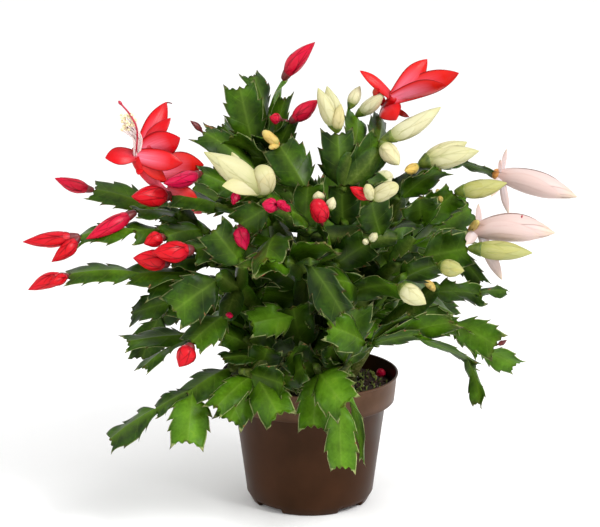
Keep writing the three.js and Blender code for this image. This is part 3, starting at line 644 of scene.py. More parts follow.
def tint(code):
    parts = [int(code[k : k + 2], 16) / 255 for k in (1, 3, 5)]
    linear = [p / 12.92 if p <= 0.04045 else ((p + 0.055) / 1.055) ** 2.4 for p in parts]
    return (*linear, 1)


def perMetre(size):
    return 1 / (size * millimetre)


def socketOf(sockets, key):
    for socket in sockets:
        if socket.identifier == key:
            return socket
    return sockets[key]


def addNode(tree, kind, inputs=None, **settings):
    node = tree.nodes.new(kind)
    for key, value in settings.items():
        setattr(node, key, value)
    for key, value in (inputs or {}).items():
        socket = socketOf(node.inputs, key)
        if isinstance(value, bpy.types.NodeSocket):
            tree.links.new(value, socket)
        else:
            socket.default_value = value
    return node


def mixColors(tree, factor, a, b):
    inputs = {"Factor_Float": factor, "A_Color": a, "B_Color": b}
    node = addNode(tree, "ShaderNodeMix", inputs, data_type="RGBA")
    return socketOf(node.outputs, "Result_Color")


def blend(tree, share, color, code):
    return mixColors(tree, share, color, tint(code))


def calculate(tree, operation, a, b=0.0):
    return addNode(tree, "ShaderNodeMath", {0: a, 1: b}, operation=operation).outputs[0]


def times(tree, a, b):
    return calculate(tree, "MULTIPLY", a, b)


def plus(tree, a, b):
    return calculate(tree, "ADD", a, b)


def calculateVector(tree, operation, a, b):
    return addNode(tree, "ShaderNodeVectorMath", {0: a, 1: b}, operation=operation).outputs[0]


def mapped(tree, value, low, high, toLow=0.0, toHigh=1.0):
    inputs = {"Value": value, "From Min": low, "From Max": high, "To Min": toLow, "To Max": toHigh}
    return addNode(tree, "ShaderNodeMapRange", inputs).outputs["Result"]


def noiseOf(tree, vector, size, detail=2.0, roughness=0.5):
    inputs = {"Vector": vector, "Scale": perMetre(size), "Detail": detail, "Roughness": roughness}
    return addNode(tree, "ShaderNodeTexNoise", inputs).outputs["Fac"]


def rampOf(tree, value, stops):
    node = addNode(tree, "ShaderNodeValToRGB", {"Fac": value})
    ramp = node.color_ramp
    while len(ramp.elements) < len(stops):
        ramp.elements.new(0.5)
    for element, (place, code) in zip(ramp.elements, stops):
        element.position = place
        element.color = tint(code)
    return node.outputs["Color"]


def startMaterial(name):
    material = bpy.data.materials.new(name)
    material.use_nodes = True
    tree = material.node_tree
    tree.nodes.clear()
    return material, tree


def endMaterial(tree, shader):
    addNode(tree, "ShaderNodeOutputMaterial", {"Surface": shader})


def bumpOf(tree, height, distance, strength=1.0):
    inputs = {"Height": height, "Distance": distance * millimetre, "Strength": strength}
    return addNode(tree, "ShaderNodeBump", inputs).outputs["Normal"]


def lookOf(tree):
    node = addNode(tree, "ShaderNodeAttribute", attribute_name="look")
    parts = addNode(tree, "ShaderNodeSeparateColor", {"Color": node.outputs["Color"]})
    return parts.outputs[0], parts.outputs[1], parts.outputs[2], node.outputs["Alpha"]


def stripPlace(tree):
    # How far from the midline, 0 to 1, and how far along
    coords = addNode(tree, "ShaderNodeTexCoord")
    split = addNode(tree, "ShaderNodeSeparateXYZ", {"Vector": coords.outputs["UV"]})
    offset = calculate(tree, "SUBTRACT", split.outputs["X"], 0.5)
    return coords, times(tree, calculate(tree, "ABSOLUTE", offset), 2.0), split.outputs["Y"]


def thinShader(tree, color, through, share, roughness, normal, gloss):
    # Skin or petal: mostly reflected light, a share of it let through
    front = addNode(tree, "ShaderNodeBsdfPrincipled", {
        "Base Color": color, "Roughness": roughness, "Specular IOR Level": gloss, "Normal": normal})
    behind = addNode(tree, "ShaderNodeBsdfTranslucent", {"Color": through})
    return addNode(tree, "ShaderNodeMixShader", {
        "Fac": share, 1: front.outputs["BSDF"], 2: behind.outputs["BSDF"]}).outputs[0]


stemColors = {
    "shades": ["#142202", "#294103", "#406404", "#578416", "#72981F"],
    "rib": "#7F9A3A",
    "band": "#6E962A",
    "paintedShadeFlank": "#1A3C0E",
    "vein": "#8CAE40",
    "margin": "#C0CA84",
    "scar": "#8A5E3C",
    "tooth": "#4A2A16",
    "bark": [(0.3, "#2E2614"), (0.5, "#564A2A"), (0.7, "#8B7B55")],
    "glow": "#A8D030",
}
# Mottling and scars in millimetres, the veins in shares of a segment's length
stemMarks = {"cloud": 16, "fine": 2.2, "scar": 5.5, "veinSlant": 0.24, "veinStep": 0.18, "gloss": 0.13}


# Waxy green skin of the flat stem segments, pale at the margin, with brown tooth tips and scars
def stemSkin():
    material, tree = startMaterial("cactus_stem_skin")
    coords, spread, along = stripPlace(tree)
    place = coords.outputs["Object"]
    tone, seed, tip, cork = lookOf(tree)
    cloud = noiseOf(tree, place, stemMarks["cloud"], 3.0)
    fine = noiseOf(tree, place, stemMarks["fine"], 3.0, 0.6)
    shade = plus(tree, tone, mapped(tree, cloud, 0.3, 0.7, -0.26, 0.2))
    shade = plus(tree, shade, mapped(tree, fine, 0.3, 0.7, -0.08, 0.08))
    color = rampOf(tree, shade, [(k / 4, code) for k, code in enumerate(stemColors["shades"])])
    # A pale midrib, then painted light: a painted highlight in a lighter band beside the midrib and painted
    # shade on darker flanks
    color = blend(tree, times(tree, mapped(tree, spread, 0.09, 0.02), 0.16), color, stemColors["rib"])
    color = blend(tree, times(tree, mapped(tree, spread, 0.55, 0.1), 0.2), color, stemColors["band"])
    color = blend(tree, mapped(tree, spread, 0.35, 0.9, 0.0, 0.42), color, stemColors["paintedShadeFlank"])
    slant = calculate(tree, "SUBTRACT", along, times(tree, spread, stemMarks["veinSlant"]))
    vein = mapped(tree, calculate(tree, "PINGPONG", slant, stemMarks["veinStep"]), 0.012, 0.0)
    color = blend(tree, times(tree, vein, 0.08), color, stemColors["vein"])
    edge = calculate(tree, "MAXIMUM", mapped(tree, spread, 0.93, 0.98), mapped(tree, along, 0.965, 0.995))
    edge = times(tree, edge, mapped(tree, fine, 0.35, 0.6, 0.45, 1.0))
    # The pale margin grows faint on darker segments: painted shade that follows each segment's tone
    edge = times(tree, edge, mapped(tree, tone, 0.08, 0.6, 0.26, 0.95))
    color = blend(tree, edge, color, stemColors["margin"])
    # Scars near the margin, more of them on some segments
    scar = noiseOf(tree, place, stemMarks["scar"], 4.0, 0.65)
    scar = plus(tree, scar, mapped(tree, spread, 0.72, 1.0, -0.11, 0.06))
    scar = mapped(tree, plus(tree, scar, mapped(tree, seed, 0.3, 1.0, -0.05, 0.05)), 0.665, 0.7)
    color = blend(tree, scar, color, stemColors["scar"])
    color = blend(tree, times(tree, tip, 0.7), color, stemColors["tooth"])
    corkShare = times(tree, cork, mapped(tree, cloud, 0.35, 0.6, 0.35, 1.0))
    color = mixColors(tree, corkShare, color, rampOf(tree, fine, stemColors["bark"]))
    rough = plus(tree, mapped(tree, fine, 0.3, 0.7, 0.32, 0.46), times(tree, cork, 0.35))
    rough = plus(tree, rough, times(tree, scar, 0.3))
    normal = bumpOf(tree, plus(tree, fine, times(tree, vein, 0.6)), 0.25, 0.5)
    through = blend(tree, 0.5, color, stemColors["glow"])
    share = mapped(tree, tone, 0.2, 1.0, 0.04, 0.16)
    endMaterial(tree, thinShader(tree, color, through, share, rough, normal, stemMarks["gloss"]))
    return material


# Fine streaks along a petal: how many across its width and along its length
petalStreaks = {"across": 22, "along": 1.6}


# Satin petals; the look attribute gives hue, seed, how white the middle is and how orange the petal is
def petalSkin(name, colors, share, roughness):
    material, tree = startMaterial(name)
    coords, spread, along = stripPlace(tree)
    hue, seed, white, warm = lookOf(tree)
    size = (petalStreaks["across"] * millimetre, petalStreaks["along"] * millimetre, 0.0)
    streakPlace = calculateVector(tree, "MULTIPLY", coords.outputs["UV"], size)
    apart = addNode(tree, "ShaderNodeCombineXYZ", {"Z": seed}).outputs[0]
    streak = noiseOf(tree, calculateVector(tree, "ADD", streakPlace, apart), 1.0, 3.0, 0.6)
    color = mixColors(tree, hue, tint(colors["main"]), tint(colors["other"]))
    color = blend(tree, warm, color, colors["warm"])
    color = blend(tree, mapped(tree, streak, 0.3, 0.75, 0.0, 0.3), color, colors["streak"])
    # Darker petal edges: partly a deeper margin colour, partly painted shade along the overlapping petal
    # edges and the bud's sides
    rim = mapped(tree, spread, colors["rimFrom"], 1.0, 0.0, colors["rimShare"])
    color = blend(tree, rim, color, colors["rim"])
    # A tinted foot: the green or orange base of cream and pink petals; on red petals the dark foot is
    # partly the bud's own darker base, partly painted shade
    foot = mapped(tree, along, colors["footTo"], 0.0, 0.0, colors["footShare"])
    color = blend(tree, times(tree, foot, calculate(tree, "SUBTRACT", 1.0, white)), color, colors["foot"])
    color = blend(tree, mapped(tree, along, 0.8, 1.0, 0.0, colors["tipShare"]), color, colors["tip"])
    middle = times(tree, mapped(tree, spread, 0.9, 0.25), mapped(tree, along, 0.78, 0.15))
    middle = times(tree, middle, mapped(tree, streak, 0.3, 0.7, 0.65, 1.1))
    color = blend(tree, times(tree, middle, white), color, colors["pale"])
    normal = bumpOf(tree, streak, 0.2, 0.5)
    endMaterial(tree, thinShader(tree, color, color, share, roughness, normal, 0.18))
    return material


redColors = {
    "main": "#C6060F", "other": "#C20A4A", "warm": "#D42A18", "streak": "#C80A16", "rim": "#5E0008",
    "rimFrom": 0.86, "rimShare": 0.9, "foot": "#5A0616", "footTo": 0.3, "footShare": 0.6, "tip": "#9A0210",
    "tipShare": 0.45, "pale": "#F07C94",
}
creamColors = {
    "main": "#DCD9B4", "other": "#969A3A", "warm": "#DAB23C", "streak": "#D2CCAE", "rim": "#8E8A50",
    "rimFrom": 0.86, "rimShare": 0.34, "foot": "#86942E", "footTo": 0.4, "footShare": 0.7, "tip": "#B0AE66",
    "tipShare": 0.5, "pale": "#DCD6C2",
}
pinkColors = {
    "main": "#D4BCB6", "other": "#D0C8B8", "warm": "#DCA08A", "streak": "#E0CEC8", "rim": "#C09890",
    "rimFrom": 0.9, "rimShare": 0.25, "foot": "#D8A090", "footTo": 0.2, "footShare": 0.35, "tip": "#D8C69A",
    "tipShare": 0.5, "pale": "#D6D0D6",
}


# Small plain matters with a little mottling
def plainSkin(name, dark, light, size, roughness, depth=0.0):
    material, tree = startMaterial(name)
    place = addNode(tree, "ShaderNodeTexCoord").outputs["Object"]
    cloud = noiseOf(tree, place, size, 4.0, 0.6)
    inputs = {"Base Color": rampOf(tree, cloud, [(0.3, dark), (0.7, light)]), "Roughness": roughness}
    if depth:
        inputs["Normal"] = bumpOf(tree, cloud, depth)
    endMaterial(tree, addNode(tree, "ShaderNodeBsdfPrincipled", inputs).outputs["BSDF"])
    return material


plasticLook = {
    "dark": "#301B0A",
    "light": "#3B2211",
    "dustAndSheen": "#7A5C48",
    "cloud": 22,
    "grain": 0.7,
    "gloss": 0.08,
}


# Brown moulded polypropylene, semi-gloss, paler on the outside of its rim band: partly dust, partly a
# painted sheen where the band catches the light
def potPlastic():
    material, tree = startMaterial("pot_polypropylene")
    place = addNode(tree, "ShaderNodeTexCoord").outputs["Object"]
    cloud = noiseOf(tree, place, plasticLook["cloud"], 3.0)
    color = rampOf(tree, cloud, [(0.3, plasticLook["dark"]), (0.7, plasticLook["light"])])
    height = addNode(tree, "ShaderNodeSeparateXYZ", {"Vector": place}).outputs["Z"]
    # Paler on the outside of the band, above 69 mm: partly dust, partly painted sheen
    dustAndSheen = times(tree, mapped(tree, height, 0.069, 0.074), mapped(tree, cloud, 0.3, 0.7, 0.2, 0.42))
    inputs = {
        "Base Color": blend(tree, times(tree, dustAndSheen, lookOf(tree)[0]), color, plasticLook["dustAndSheen"]),
        "Roughness": mapped(tree, cloud, 0.3, 0.7, 0.3, 0.42),
        "Normal": bumpOf(tree, noiseOf(tree, place, plasticLook["grain"], 2.0), 0.03, 0.6),
        "Specular IOR Level": plasticLook["gloss"],
    }
    endMaterial(tree, addNode(tree, "ShaderNodeBsdfPrincipled", inputs).outputs["BSDF"])
    return material


skin = stemSkin()
redSkin = petalSkin("red_petal_tissue", redColors, 0.08, 0.32)
creamSkin = petalSkin("cream_petal_tissue", creamColors, 0.15, 0.42)
pinkSkin = petalSkin("pink_petal_tissue", pinkColors, 0.15, 0.45)
# The fleshy cups that buds and blooms stand in
redCup = plainSkin("bud_cup_brown", "#4A1420", "#7C2A22", 2.5, 0.45)
greenCup = plainSkin("bud_cup_green", "#2E480C", "#6E7C26", 4.0, 0.45)
orangeCup = plainSkin("bud_cup_orange", "#A8602A", "#D09648", 2.5, 0.45)
# Dry hair at the areoles, then the threads, pollen and style of a bloom
bristle = plainSkin("areole_bristle", "#4A2A18", "#8A623C", 1.0, 0.8)
filament = plainSkin("stamen_filament", "#E4D0CC", "#F0E4E0", 2.0, 0.5)
anther = plainSkin("stamen_pollen", "#DCC68E", "#F0E6C6", 0.8, 0.7)
stylePink = plainSkin("style_magenta", "#8E0A28", "#BE1236", 2.0, 0.4)
plastic = potPlastic()
# What the soil is made of
peat = plainSkin("damp_peat", "#140C08", "#3E2A20", 3.0, 0.9, 1.2)
barkChip = plainSkin("bark_chip", "#1E120C", "#55392A", 2.0, 0.85, 0.4)
mossGreen = plainSkin("moss_strand", "#2C4010", "#9AA84A", 9.0, 0.7)
grit = plainSkin("pale_grit", "#8E8272", "#D6CFC0", 1.0, 0.8)
print("materials made", round(time.time() - started, 1), "s")


# Flat stem segments

# Half the width of a segment, from its base to its cut-off end, before the teeth are cut in
envelope = np.array([
    (0.0, 0.13), (0.07, 0.16), (0.13, 0.3), (0.2, 0.56), (0.28, 0.8), (0.37, 0.94), (0.5, 1.0), (0.66, 1.0),
    (0.8, 0.94), (0.92, 0.84), (1.06, 0.72)])
leafSpread = np.array([0, 0.06, 0.18, 0.33, 0.48, 0.62, 0.75, 0.86, 0.94, 1.0])
leafRows = 25
# A pair here and below is the least and how much more the seeded draw may add
leafBody = {
    "thick": 0.9,
    "ridge": 0.45,
    "ridgeShare": 0.07,
    "edgePower": 1.5,
    "endPower": 4.5,
    "ribEnd": 0.94,
    "inner": 0.82,
    "fold": (0.03, 0.27),
    "wave": (0.7, 1.8),
    "twist": 0.5,
    "curl": 0.14,
    "curlUp": 0.35,
}
# The teeth: where the first one stands and the rows of mesh between them when there are two or three,
# how far they shift, the notches' depth and slant, how far the tips stand out
margin = {
    "first": {2: 0.44, 3: 0.36},
    "rows": {2: [9, 8, 8], 3: [7, 6, 6, 6]},
    "shift": 0.07,
    "end": (1.0, 0.08),
    "slant": 0.025,
    "moreSlant": 0.035,
    "inset": 0.006,
    "deep": (0.1, 0.1),
    "out": (0.05, 0.09),
    "flute": (0.3, 0.9),
}


def drawn(random, pair):
    return pair[0] + pair[1] * random()


def marginOf(random):
    # One side of a segment: place along at the margin and just inside it, half width, tooth tips, flutes
    teeth = 2 if random() < 0.5 else 3
    tips = np.linspace(margin["first"][teeth], 1.0, teeth + 1)
    tips[:-1] += (np.array([random() for _ in range(teeth)]) - 0.5) * margin["shift"]
    tips[-1] = drawn(random, margin["end"])
    starts = [0.0] + [tip - margin["slant"] - margin["moreSlant"] * random() for tip in tips[:-1]]
    stops = [start - margin["inset"] for start in starts[1:]] + [1.0]
    rows = []
    for index, count in enumerate(margin["rows"][teeth]):
        q = np.linspace(0, 1, count)
        edge = starts[index] + (tips[index] - starts[index]) * q
        inside = starts[index] + (stops[index] - starts[index]) * q
        deep = drawn(random, margin["deep"]) if index else 0.0
        out = drawn(random, margin["out"])
        tooth = 1 - deep * (1 - q) ** 1.5 + out * q ** 6
        reach = np.interp(edge, envelope[:, 0], envelope[:, 1]) * tooth
        flute = np.sin(q * math.pi) * drawn(random, margin["flute"])
        rows.append(np.stack([edge, inside, reach, (q > 0.99) * 1.0, flute]))
    return np.concatenate(rows, axis=1)


# How pale a limb's segments are, where the photo sets them apart: partly the segments' own colour, partly
# painted light, paler for the front-lit hanging segments and darker for inner ones in shade
limbTonesWithPaintedLight = {
    "brightDrop": 0.58, "hangOne": 0.34, "hangTwo": 0.48, "hangThree": 0.5, "hangFour": 0.5,
    "hangFive": 0.66, "sliver": 0.6, "brightLeaf": 0.4, "slope": 0.0, "rightFace": 0.46,
    "paleTip": 0.66, "lowArm": 0.3, "broad": 0.26, "thinArch": 0.42, "lowRight": 0.5,
    "paleArm": 0.6, "innerRight": 0.4, "innerMid": 0.24, "innerLeft": 0.14, "edgeDrop": 0.3,
    "flatRight": 0.3, "leftTop": 0.4, "leftMid": 0.36, "shelfOne": 0.46, "shelfTwo": 0.5,
    "crown": 0.06, "crownSide": 0.12, "upright": 0.22, "ribbed": 0.6, "face": 0.2, "dots": 0.2,
    "heart": 0.34, "creamArm": 0.2, "leftLong": 0.32, "wideTop": 0.34, "back": 0.3,
}
# The tone of all the others, how far it may differ, and the tone of the old segments
tones = {"usual": 0.27, "differ": 0.18, "stalk": (0.18, 0.14)}
# Segments whose tip has turned corky
corkyTips = {
    "shelfTwo": 0.9,
    "lowRight": 0.6,
    "shelfOne": 0.4,
    "rightFace": 0.5,
    "thinArch": 0.6,
    "leftLong": 0.4,
}


def leafPart(blade, tone, random, corky=0.0):
    spread = np.concatenate([-leafSpread[:0:-1], leafSpread])
    off = np.abs(spread)
    rows, columns = leafRows, len(spread)
    left, right = marginOf(random), marginOf(random)
    onLeft = spread < 0
    sides = [np.where(onLeft, a[:, None], b[:, None]) for a, b in zip(left, right)]
    edges, insides, wides, _, flutes = sides
    rim = off > 0.99
    rib = np.linspace(0, leafBody["ribEnd"], rows)[:, None]
    power = np.linspace(0, 1, rows)[:, None] ** 10 * (leafBody["endPower"] - leafBody["edgePower"])
    along = rib + (np.where(rim, edges, insides) - rib) * off ** (leafBody["edgePower"] + power)
    along[-1] += 0.022 * np.sin(spread * 11 + random() * 6) * (off < 0.9)
    inner = np.interp(insides, envelope[:, 0], envelope[:, 1]) * leafBody["inner"]
    across = spread * np.where(rim, wides, inner) * blade["half"]
    up = -1 if blade["facing"][2] < 0 else 1
    fold = drawn(random, leafBody["fold"])
    wave = drawn(random, leafBody["wave"])
    phase = np.where(onLeft, random() * 6.28, random() * 6.28)
    twist = (random() - 0.5) * leafBody["twist"]
    curl = (random() - leafBody["curlUp"]) * leafBody["curl"]
    lift = arch(blade, along) - up * fold * blade["half"] * off ** 1.2
    lift = lift + wave * off ** 2 * np.sin(along * 9 + phase) + twist * across * (along - 0.4)
    lift = lift + flutes * off ** 3 - up * curl * blade["length"] * np.clip(along - 0.55, 0, 1) ** 1.5
    body = leafBody["thick"] * np.minimum(1, 0.45 + 4 * along) * (1 - 0.25 * along)
    ridge = leafBody["ridge"] * np.exp(-((off / leafBody["ridgeShare"]) ** 2))
    half = body * (1 - off ** 2.6) ** 0.55 + ridge * (1 - 0.7 * np.clip(along, 0, 1))
    middle = pointsOn(blade, along, across, lift)
    thick = half[..., None] * blade["facing"]
    points = np.concatenate([middle + thick, (middle - thick)[:, -2:0:-1]], axis=1)
    around = points.shape[1]
    alongs = np.concatenate([along, along[:, -2:0:-1]], axis=1)
    shares = across / (wides * blade["half"])
    shares = np.concatenate([shares, shares[:, -2:0:-1]], axis=1)
    uv = np.stack([shares * 0.5 + 0.5, alongs], axis=-1)
    marks = np.zeros((rows, around))
    marks[:, 0], marks[:, columns - 1] = left[3], right[3]
    ends = np.abs(np.concatenate([spread, spread[-2:0:-1]]))
    marks[-1] = np.maximum(marks[-1], 0.7 * np.clip((0.3 - ends) * 8, 0, 1))
    look = np.empty((rows, around, 4))
    look[..., 0], look[..., 1], look[..., 2] = tone, random(), marks
    look[..., 3] = corky * np.clip((alongs - 0.86) * 9, 0, 1)
    last = (rows - 1) * around
    topEnd = last + np.arange(columns)
    underEnd = last + np.concatenate([[0], np.arange(around - 1, columns - 1, -1), [columns - 1]])
    endFaces = [np.stack([topEnd[1:-2], underEnd[1:-2], underEnd[2:-1], topEnd[2:-1]], axis=1)]
    endFaces.append(np.array([[topEnd[0], underEnd[1], topEnd[1]], [topEnd[-1], topEnd[-2], underEnd[-2]]]))
    faces = [gridFaces(rows, around, True), np.arange(around)[None], *endFaces]
    spots = []
    for marked, column in ((left[3], 0), (right[3], columns - 1)):
        spots += [middle[row + 1, column] for row in np.where(marked > 0)[0][:-1]]
    spots.append(middle[-1, columns // 2])
    return makePart(points, faces, uv, look.reshape(-1, 4)), spots


stalkStations = [(0, 0.4), (0.12, 0.62), (0.3, 0.92), (0.5, 1.05), (0.72, 1.0), (0.9, 0.78), (1.0, 0.5)]
stalkForm = {
    "rows": 22,
    "sides": 16,
    "bump": 0.12,
    "flat": 0.55,
    "ridge": 0.9,
    "corkTop": 132,
    "corkDepth": 45,
    "corkShare": 0.6,
    "corkRidge": 0.3,
}


def stripUv(spread, along, shape, half=0.5):
    return np.stack([np.broadcast_to(spread * half + 0.5, shape), np.broadcast_to(along, shape)], axis=-1)


# An old segment has lost its teeth: a narrow, thick blade with a strong rib, corky low in the plant
def stalkPart(blade, tone, random):
    along, wide = curveThrough(stalkStations, stalkForm["rows"]).T
    angles = anglesOf(stalkForm["sides"])
    cos, sin = np.cos(angles), np.sin(angles)
    bumps = [1 + stalkForm["bump"] * np.abs(np.sin(along * 8 + random() * 6)) ** 0.5 for _ in range(2)]
    bumps = np.where(cos < 0, bumps[0][:, None], bumps[1][:, None])
    across = (wide * blade["half"])[:, None] * bumps * cos
    ridge = stalkForm["flat"] + stalkForm["ridge"] * np.abs(sin) ** 5
    lift = (blade["thick"] * (0.7 + 0.3 * wide))[:, None] * sin * ridge + arch(blade, along)[:, None]
    points = pointsOn(blade, along[:, None], across, lift)
    low = np.clip((stalkForm["corkTop"] - points[..., 2]) / stalkForm["corkDepth"], 0, 1)
    look = np.empty((*across.shape, 4))
    look[..., 0], look[..., 1], look[..., 2] = tone, random(), 0
    look[..., 3] = low * stalkForm["corkShare"] + stalkForm["corkRidge"] * np.abs(sin) ** 6
    # Its uv stops short of the pale margin, which only young segments have
    uv = stripUv(cos, along[:, None] * 0.94, across.shape, 0.42)
    return makePart(points, ringFaces(*across.shape), uv, look.reshape(-1, 4))


tuftSize = 0.4


def tuftPart(place, facing, random):
    # A tiny woolly pad
    first, second = crossAxes(facing)
    corners = [facing, -facing, first, -first, second, -second]
    points = [place + tuftSize * (0.8 + 0.4 * random()) * corner for corner in corners]
    faces = [(0, 2, 4), (0, 4, 3), (0, 3, 5), (0, 5, 2), (1, 4, 2), (1, 3, 4), (1, 5, 3), (1, 2, 5)]
    return makePart(points, [np.array(faces)], material=1)


# The foot of a stem in the soil: how high above its base, how far it sways, its radii
rootForm = {"from": 5, "to": 17, "sway": 0.5, "radii": [3.4, 2.8, 2.6, 2.6, 2.5, 2.2], "tone": 0.25}


def rootPart(root, random):
    rises = np.linspace(rootForm["from"], rootForm["to"], len(rootForm["radii"]))
    sway = rootForm["sway"]
    points = root["base"] + np.stack([sway * np.sin(rises), sway * np.cos(rises * 1.3), rises], axis=1)
    return tubePart(points, rootForm["radii"], 12, (rootForm["tone"], random(), 0, 1))


# Dark segments that fill the inside of the plant, round the old ones. The right of the rim stays open
fillers = {
    "places": (0.25, 0.42, 0.6, 0.78, 0.95),
    "length": (26, 14),
    "width": (20, 7),
    "rise": (-0.3, 1.3),
    "swing": 3.4,
    "turn": 120,
    "tone": (0.26, 0.34),
    "reach": 68,
    "baseOver": 2,
    "tipOver": 8,
    "openFrom": 34,
    "openBelow": 126,
}
# More of them over the pot's rim. Each grows from the old segment below a limb: the limb, how many
# segments down, the place along, [pixel across, pixel down, depth], width, turn and tone. The low tones add
# painted shade to the segments crowded over the rim
rimLeaves = [
    ["thinArm", 1, 0.72, [221, 333, -74], 22, 30, 0.22],
    ["thinArm", 1, 0.5, [300, 348, -64], 24, 15, 0.14],
    ["hangOne", 1, 0.5, [306, 366, -84], 24, -10, 0.2],
    ["hangFour", 1, 0.5, [288, 352, -80], 25, 10, 0.15],
    ["innerRight", 1, 0.6, [331, 343, -70], 23, 20, 0.18],
    ["hangOne", 1, 0.75, [268, 346, -84], 24, 10, 0.16],
    ["thinArm", 1, 0.9, [272, 330, -66], 24, -15, 0.18],
    ["hangOne", 1, 0.9, [286, 385, -96], 22, 25, 0.3],
    ["innerMid", 0, 0.75, [249, 324, -74], 24, 20, 0.78],
    ["leftLong", 1, 0.45, [214, 319, -80], 20, 74, 0.6],
]


def fillerBlades(stalk, random):
    grown = []
    for place in fillers["places"]:
        base = placeOn(stalk, place)
        if base[2] < pot["height"] + fillers["baseOver"]:
            continue
        out = np.array([base[0], base[1], 0])
        out = unit(out) if np.linalg.norm(out) > 5 else np.array([0, -1.0, 0])
        swing = (random() - 0.5) * fillers["swing"]
        way = np.array([
            out[0] * math.cos(swing) - out[1] * math.sin(swing),
            out[0] * math.sin(swing) + out[1] * math.cos(swing),
            drawn(random, fillers["rise"])])
        tip = base + unit(way) * drawn(random, fillers["length"])
        width = drawn(random, fillers["width"])
        turn = (random() - 0.5) * fillers["turn"]
        far = math.hypot(tip[0], tip[1]) > fillers["reach"] or tip[2] < pot["height"] + fillers["tipOver"]
        if far or (tip[0] > fillers["openFrom"] and tip[2] < fillers["openBelow"]):
            continue
        grown.append(makeBlade(base, tip, width, turn, bowOf(random), "leaf"))
    return grown


def rimBlade(row, random):
    limb, down, place, aim, width, turn, tone = row
    source = limbs[limb][0]
    for _ in range(down):
        source = source["parent"]
    blade = makeBlade(placeOn(source, place), seen(*aim), width, turn, bowOf(random), "leaf")
    return source["stemIndex"], leafPart(blade, tone, random)[0]


def growLooks():
    random = seeded(4001)
    rims = [rimBlade(row, random) for row in rimLeaves]
    for index, stem in enumerate(stemNames):
        parts = [rootPart(roots[index], random)] + [part for at, part in rims if at == index]
        for blade in [b for b in blades if b["stemIndex"] == index]:
            if blade["kind"] == "stalk":
                parts.append(stalkPart(blade, drawn(random, tones["stalk"]), random))
                for filler in fillerBlades(blade, random):
                    parts.append(leafPart(filler, drawn(random, fillers["tone"]), random)[0])
                continue
            limb = blade.get("limb")
            tone = limbTonesWithPaintedLight.get(limb, tones["usual"]) + (random() - 0.5) * tones["differ"]
            isLast = limbs.get(limb, [None])[-1] is blade
            part, spots = leafPart(blade, tone, random, corkyTips.get(limb, 0.0) if isLast else 0.0)
            parts.append(part)
            parts.extend(tuftPart(place, blade["facing"], random) for place in spots)
        makePiece(f"segments_{stem}", parts, [skin, bristle], [f"leafy_stem_{stem}"])


growLooks()
print("segments made", round(time.time() - started, 1), "s")


# Buds

# Rings of a bud's cup and body: along it, share of its radius
cupRings = {
    "red": [(0.0, 0.16), (0.02, 0.36), (0.06, 0.46), (0.11, 0.54), (0.16, 0.6), (0.175, 0.56), (0.2, 0.42)],
    "cream": [
        (0.0, 0.2), (0.03, 0.34), (0.08, 0.5), (0.14, 0.66), (0.19, 0.78), (0.21, 0.79), (0.222, 0.7),
        (0.25, 0.5)],
    "ball": [(0.0, 0.14), (0.03, 0.34), (0.08, 0.5), (0.13, 0.56), (0.16, 0.5), (0.2, 0.4)],
    "pink": [(0.0, 0.14), (0.01, 0.34), (0.035, 0.46), (0.07, 0.46), (0.1, 0.38), (0.13, 0.3)],
    "opening": [(0.0, 0.14), (0.02, 0.34), (0.06, 0.46), (0.1, 0.46), (0.14, 0.38)],
}
bodyRings = {
    "red": [
        (0.14, 0.42), (0.18, 0.58), (0.24, 0.74), (0.32, 0.9), (0.42, 0.98), (0.54, 0.95), (0.67, 0.81),
        (0.79, 0.6), (0.89, 0.36), (0.96, 0.15), (1.0, 0.03)],
    "cream": [
        (0.18, 0.6), (0.22, 0.75), (0.28, 0.88), (0.36, 0.97), (0.46, 1.0), (0.57, 0.97), (0.69, 0.84),
        (0.8, 0.63), (0.89, 0.4), (0.96, 0.18), (1.0, 0.04)],
    "ball": [
        (0.12, 0.5), (0.16, 0.7), (0.24, 0.87), (0.35, 0.97), (0.5, 1.0), (0.66, 0.97), (0.8, 0.86),
        (0.9, 0.66), (0.96, 0.42), (0.99, 0.2), (1.0, 0.06)],
    "pink": [
        (0.05, 0.3), (0.09, 0.46), (0.17, 0.66), (0.3, 0.88), (0.45, 1.0), (0.6, 0.96), (0.72, 0.8),
        (0.83, 0.56), (0.92, 0.3), (0.97, 0.14), (1.0, 0.03)],
    "opening": [
        (0.06, 0.34), (0.12, 0.6), (0.22, 0.86), (0.34, 0.98), (0.47, 1.0), (0.6, 0.88), (0.72, 0.66),
        (0.83, 0.42), (0.92, 0.22), (1.0, 0.03)],
}
# Petals of a bud: how many, from, to, half the angle that each covers, how far it stands off
budLayers = {
    "red": [
        (3, 0.15, 0.3, 38, 0.35), (3, 0.16, 0.64, 62, 0.3), (3, 0.16, 0.88, 66, 0.16),
        (3, 0.2, 1.0, 66, 0.03)],
    "cream": [(3, 0.19, 0.6, 64, 0.25), (3, 0.2, 0.86, 68, 0.13), (3, 0.22, 1.0, 66, 0.03)],
    "ball": [(3, 0.13, 0.66, 62, 0.3), (3, 0.15, 0.86, 70, 0.2), (3, 0.2, 1.0, 66, 0.06)],
    "pink": [(2, 0.08, 0.84, 74, 0.6), (2, 0.09, 0.94, 82, 0.4), (3, 0.12, 1.0, 66, 0.15)],
    "opening": [(2, 0.1, 0.84, 84, 0.3), (2, 0.12, 1.0, 96, 0.12)],
}
# A bud's petal: its mesh, the roll of its edge in millimetres, its narrow foot and how fast it opens
budPetalForm = {"rows": 12, "columns": 9, "edge": 0.25, "foot": 0.55, "opening": 1.5, "footStand": 0.6}
# A bud's mesh, its cup, how far it may bend, and how much its petals differ in turn, hue and whiteness
budForm = {
    "cupRows": 16,
    "cupSides": 20,
    "cupWider": 1.02,
    "rows": 28,
    "sides": 24,
    "bend": 0.09,
    "layerTurn": 1.05,
    "turn": 0.25,
    "hue": 0.1,
    "white": 0.12,
    "warm": 0.12,
}


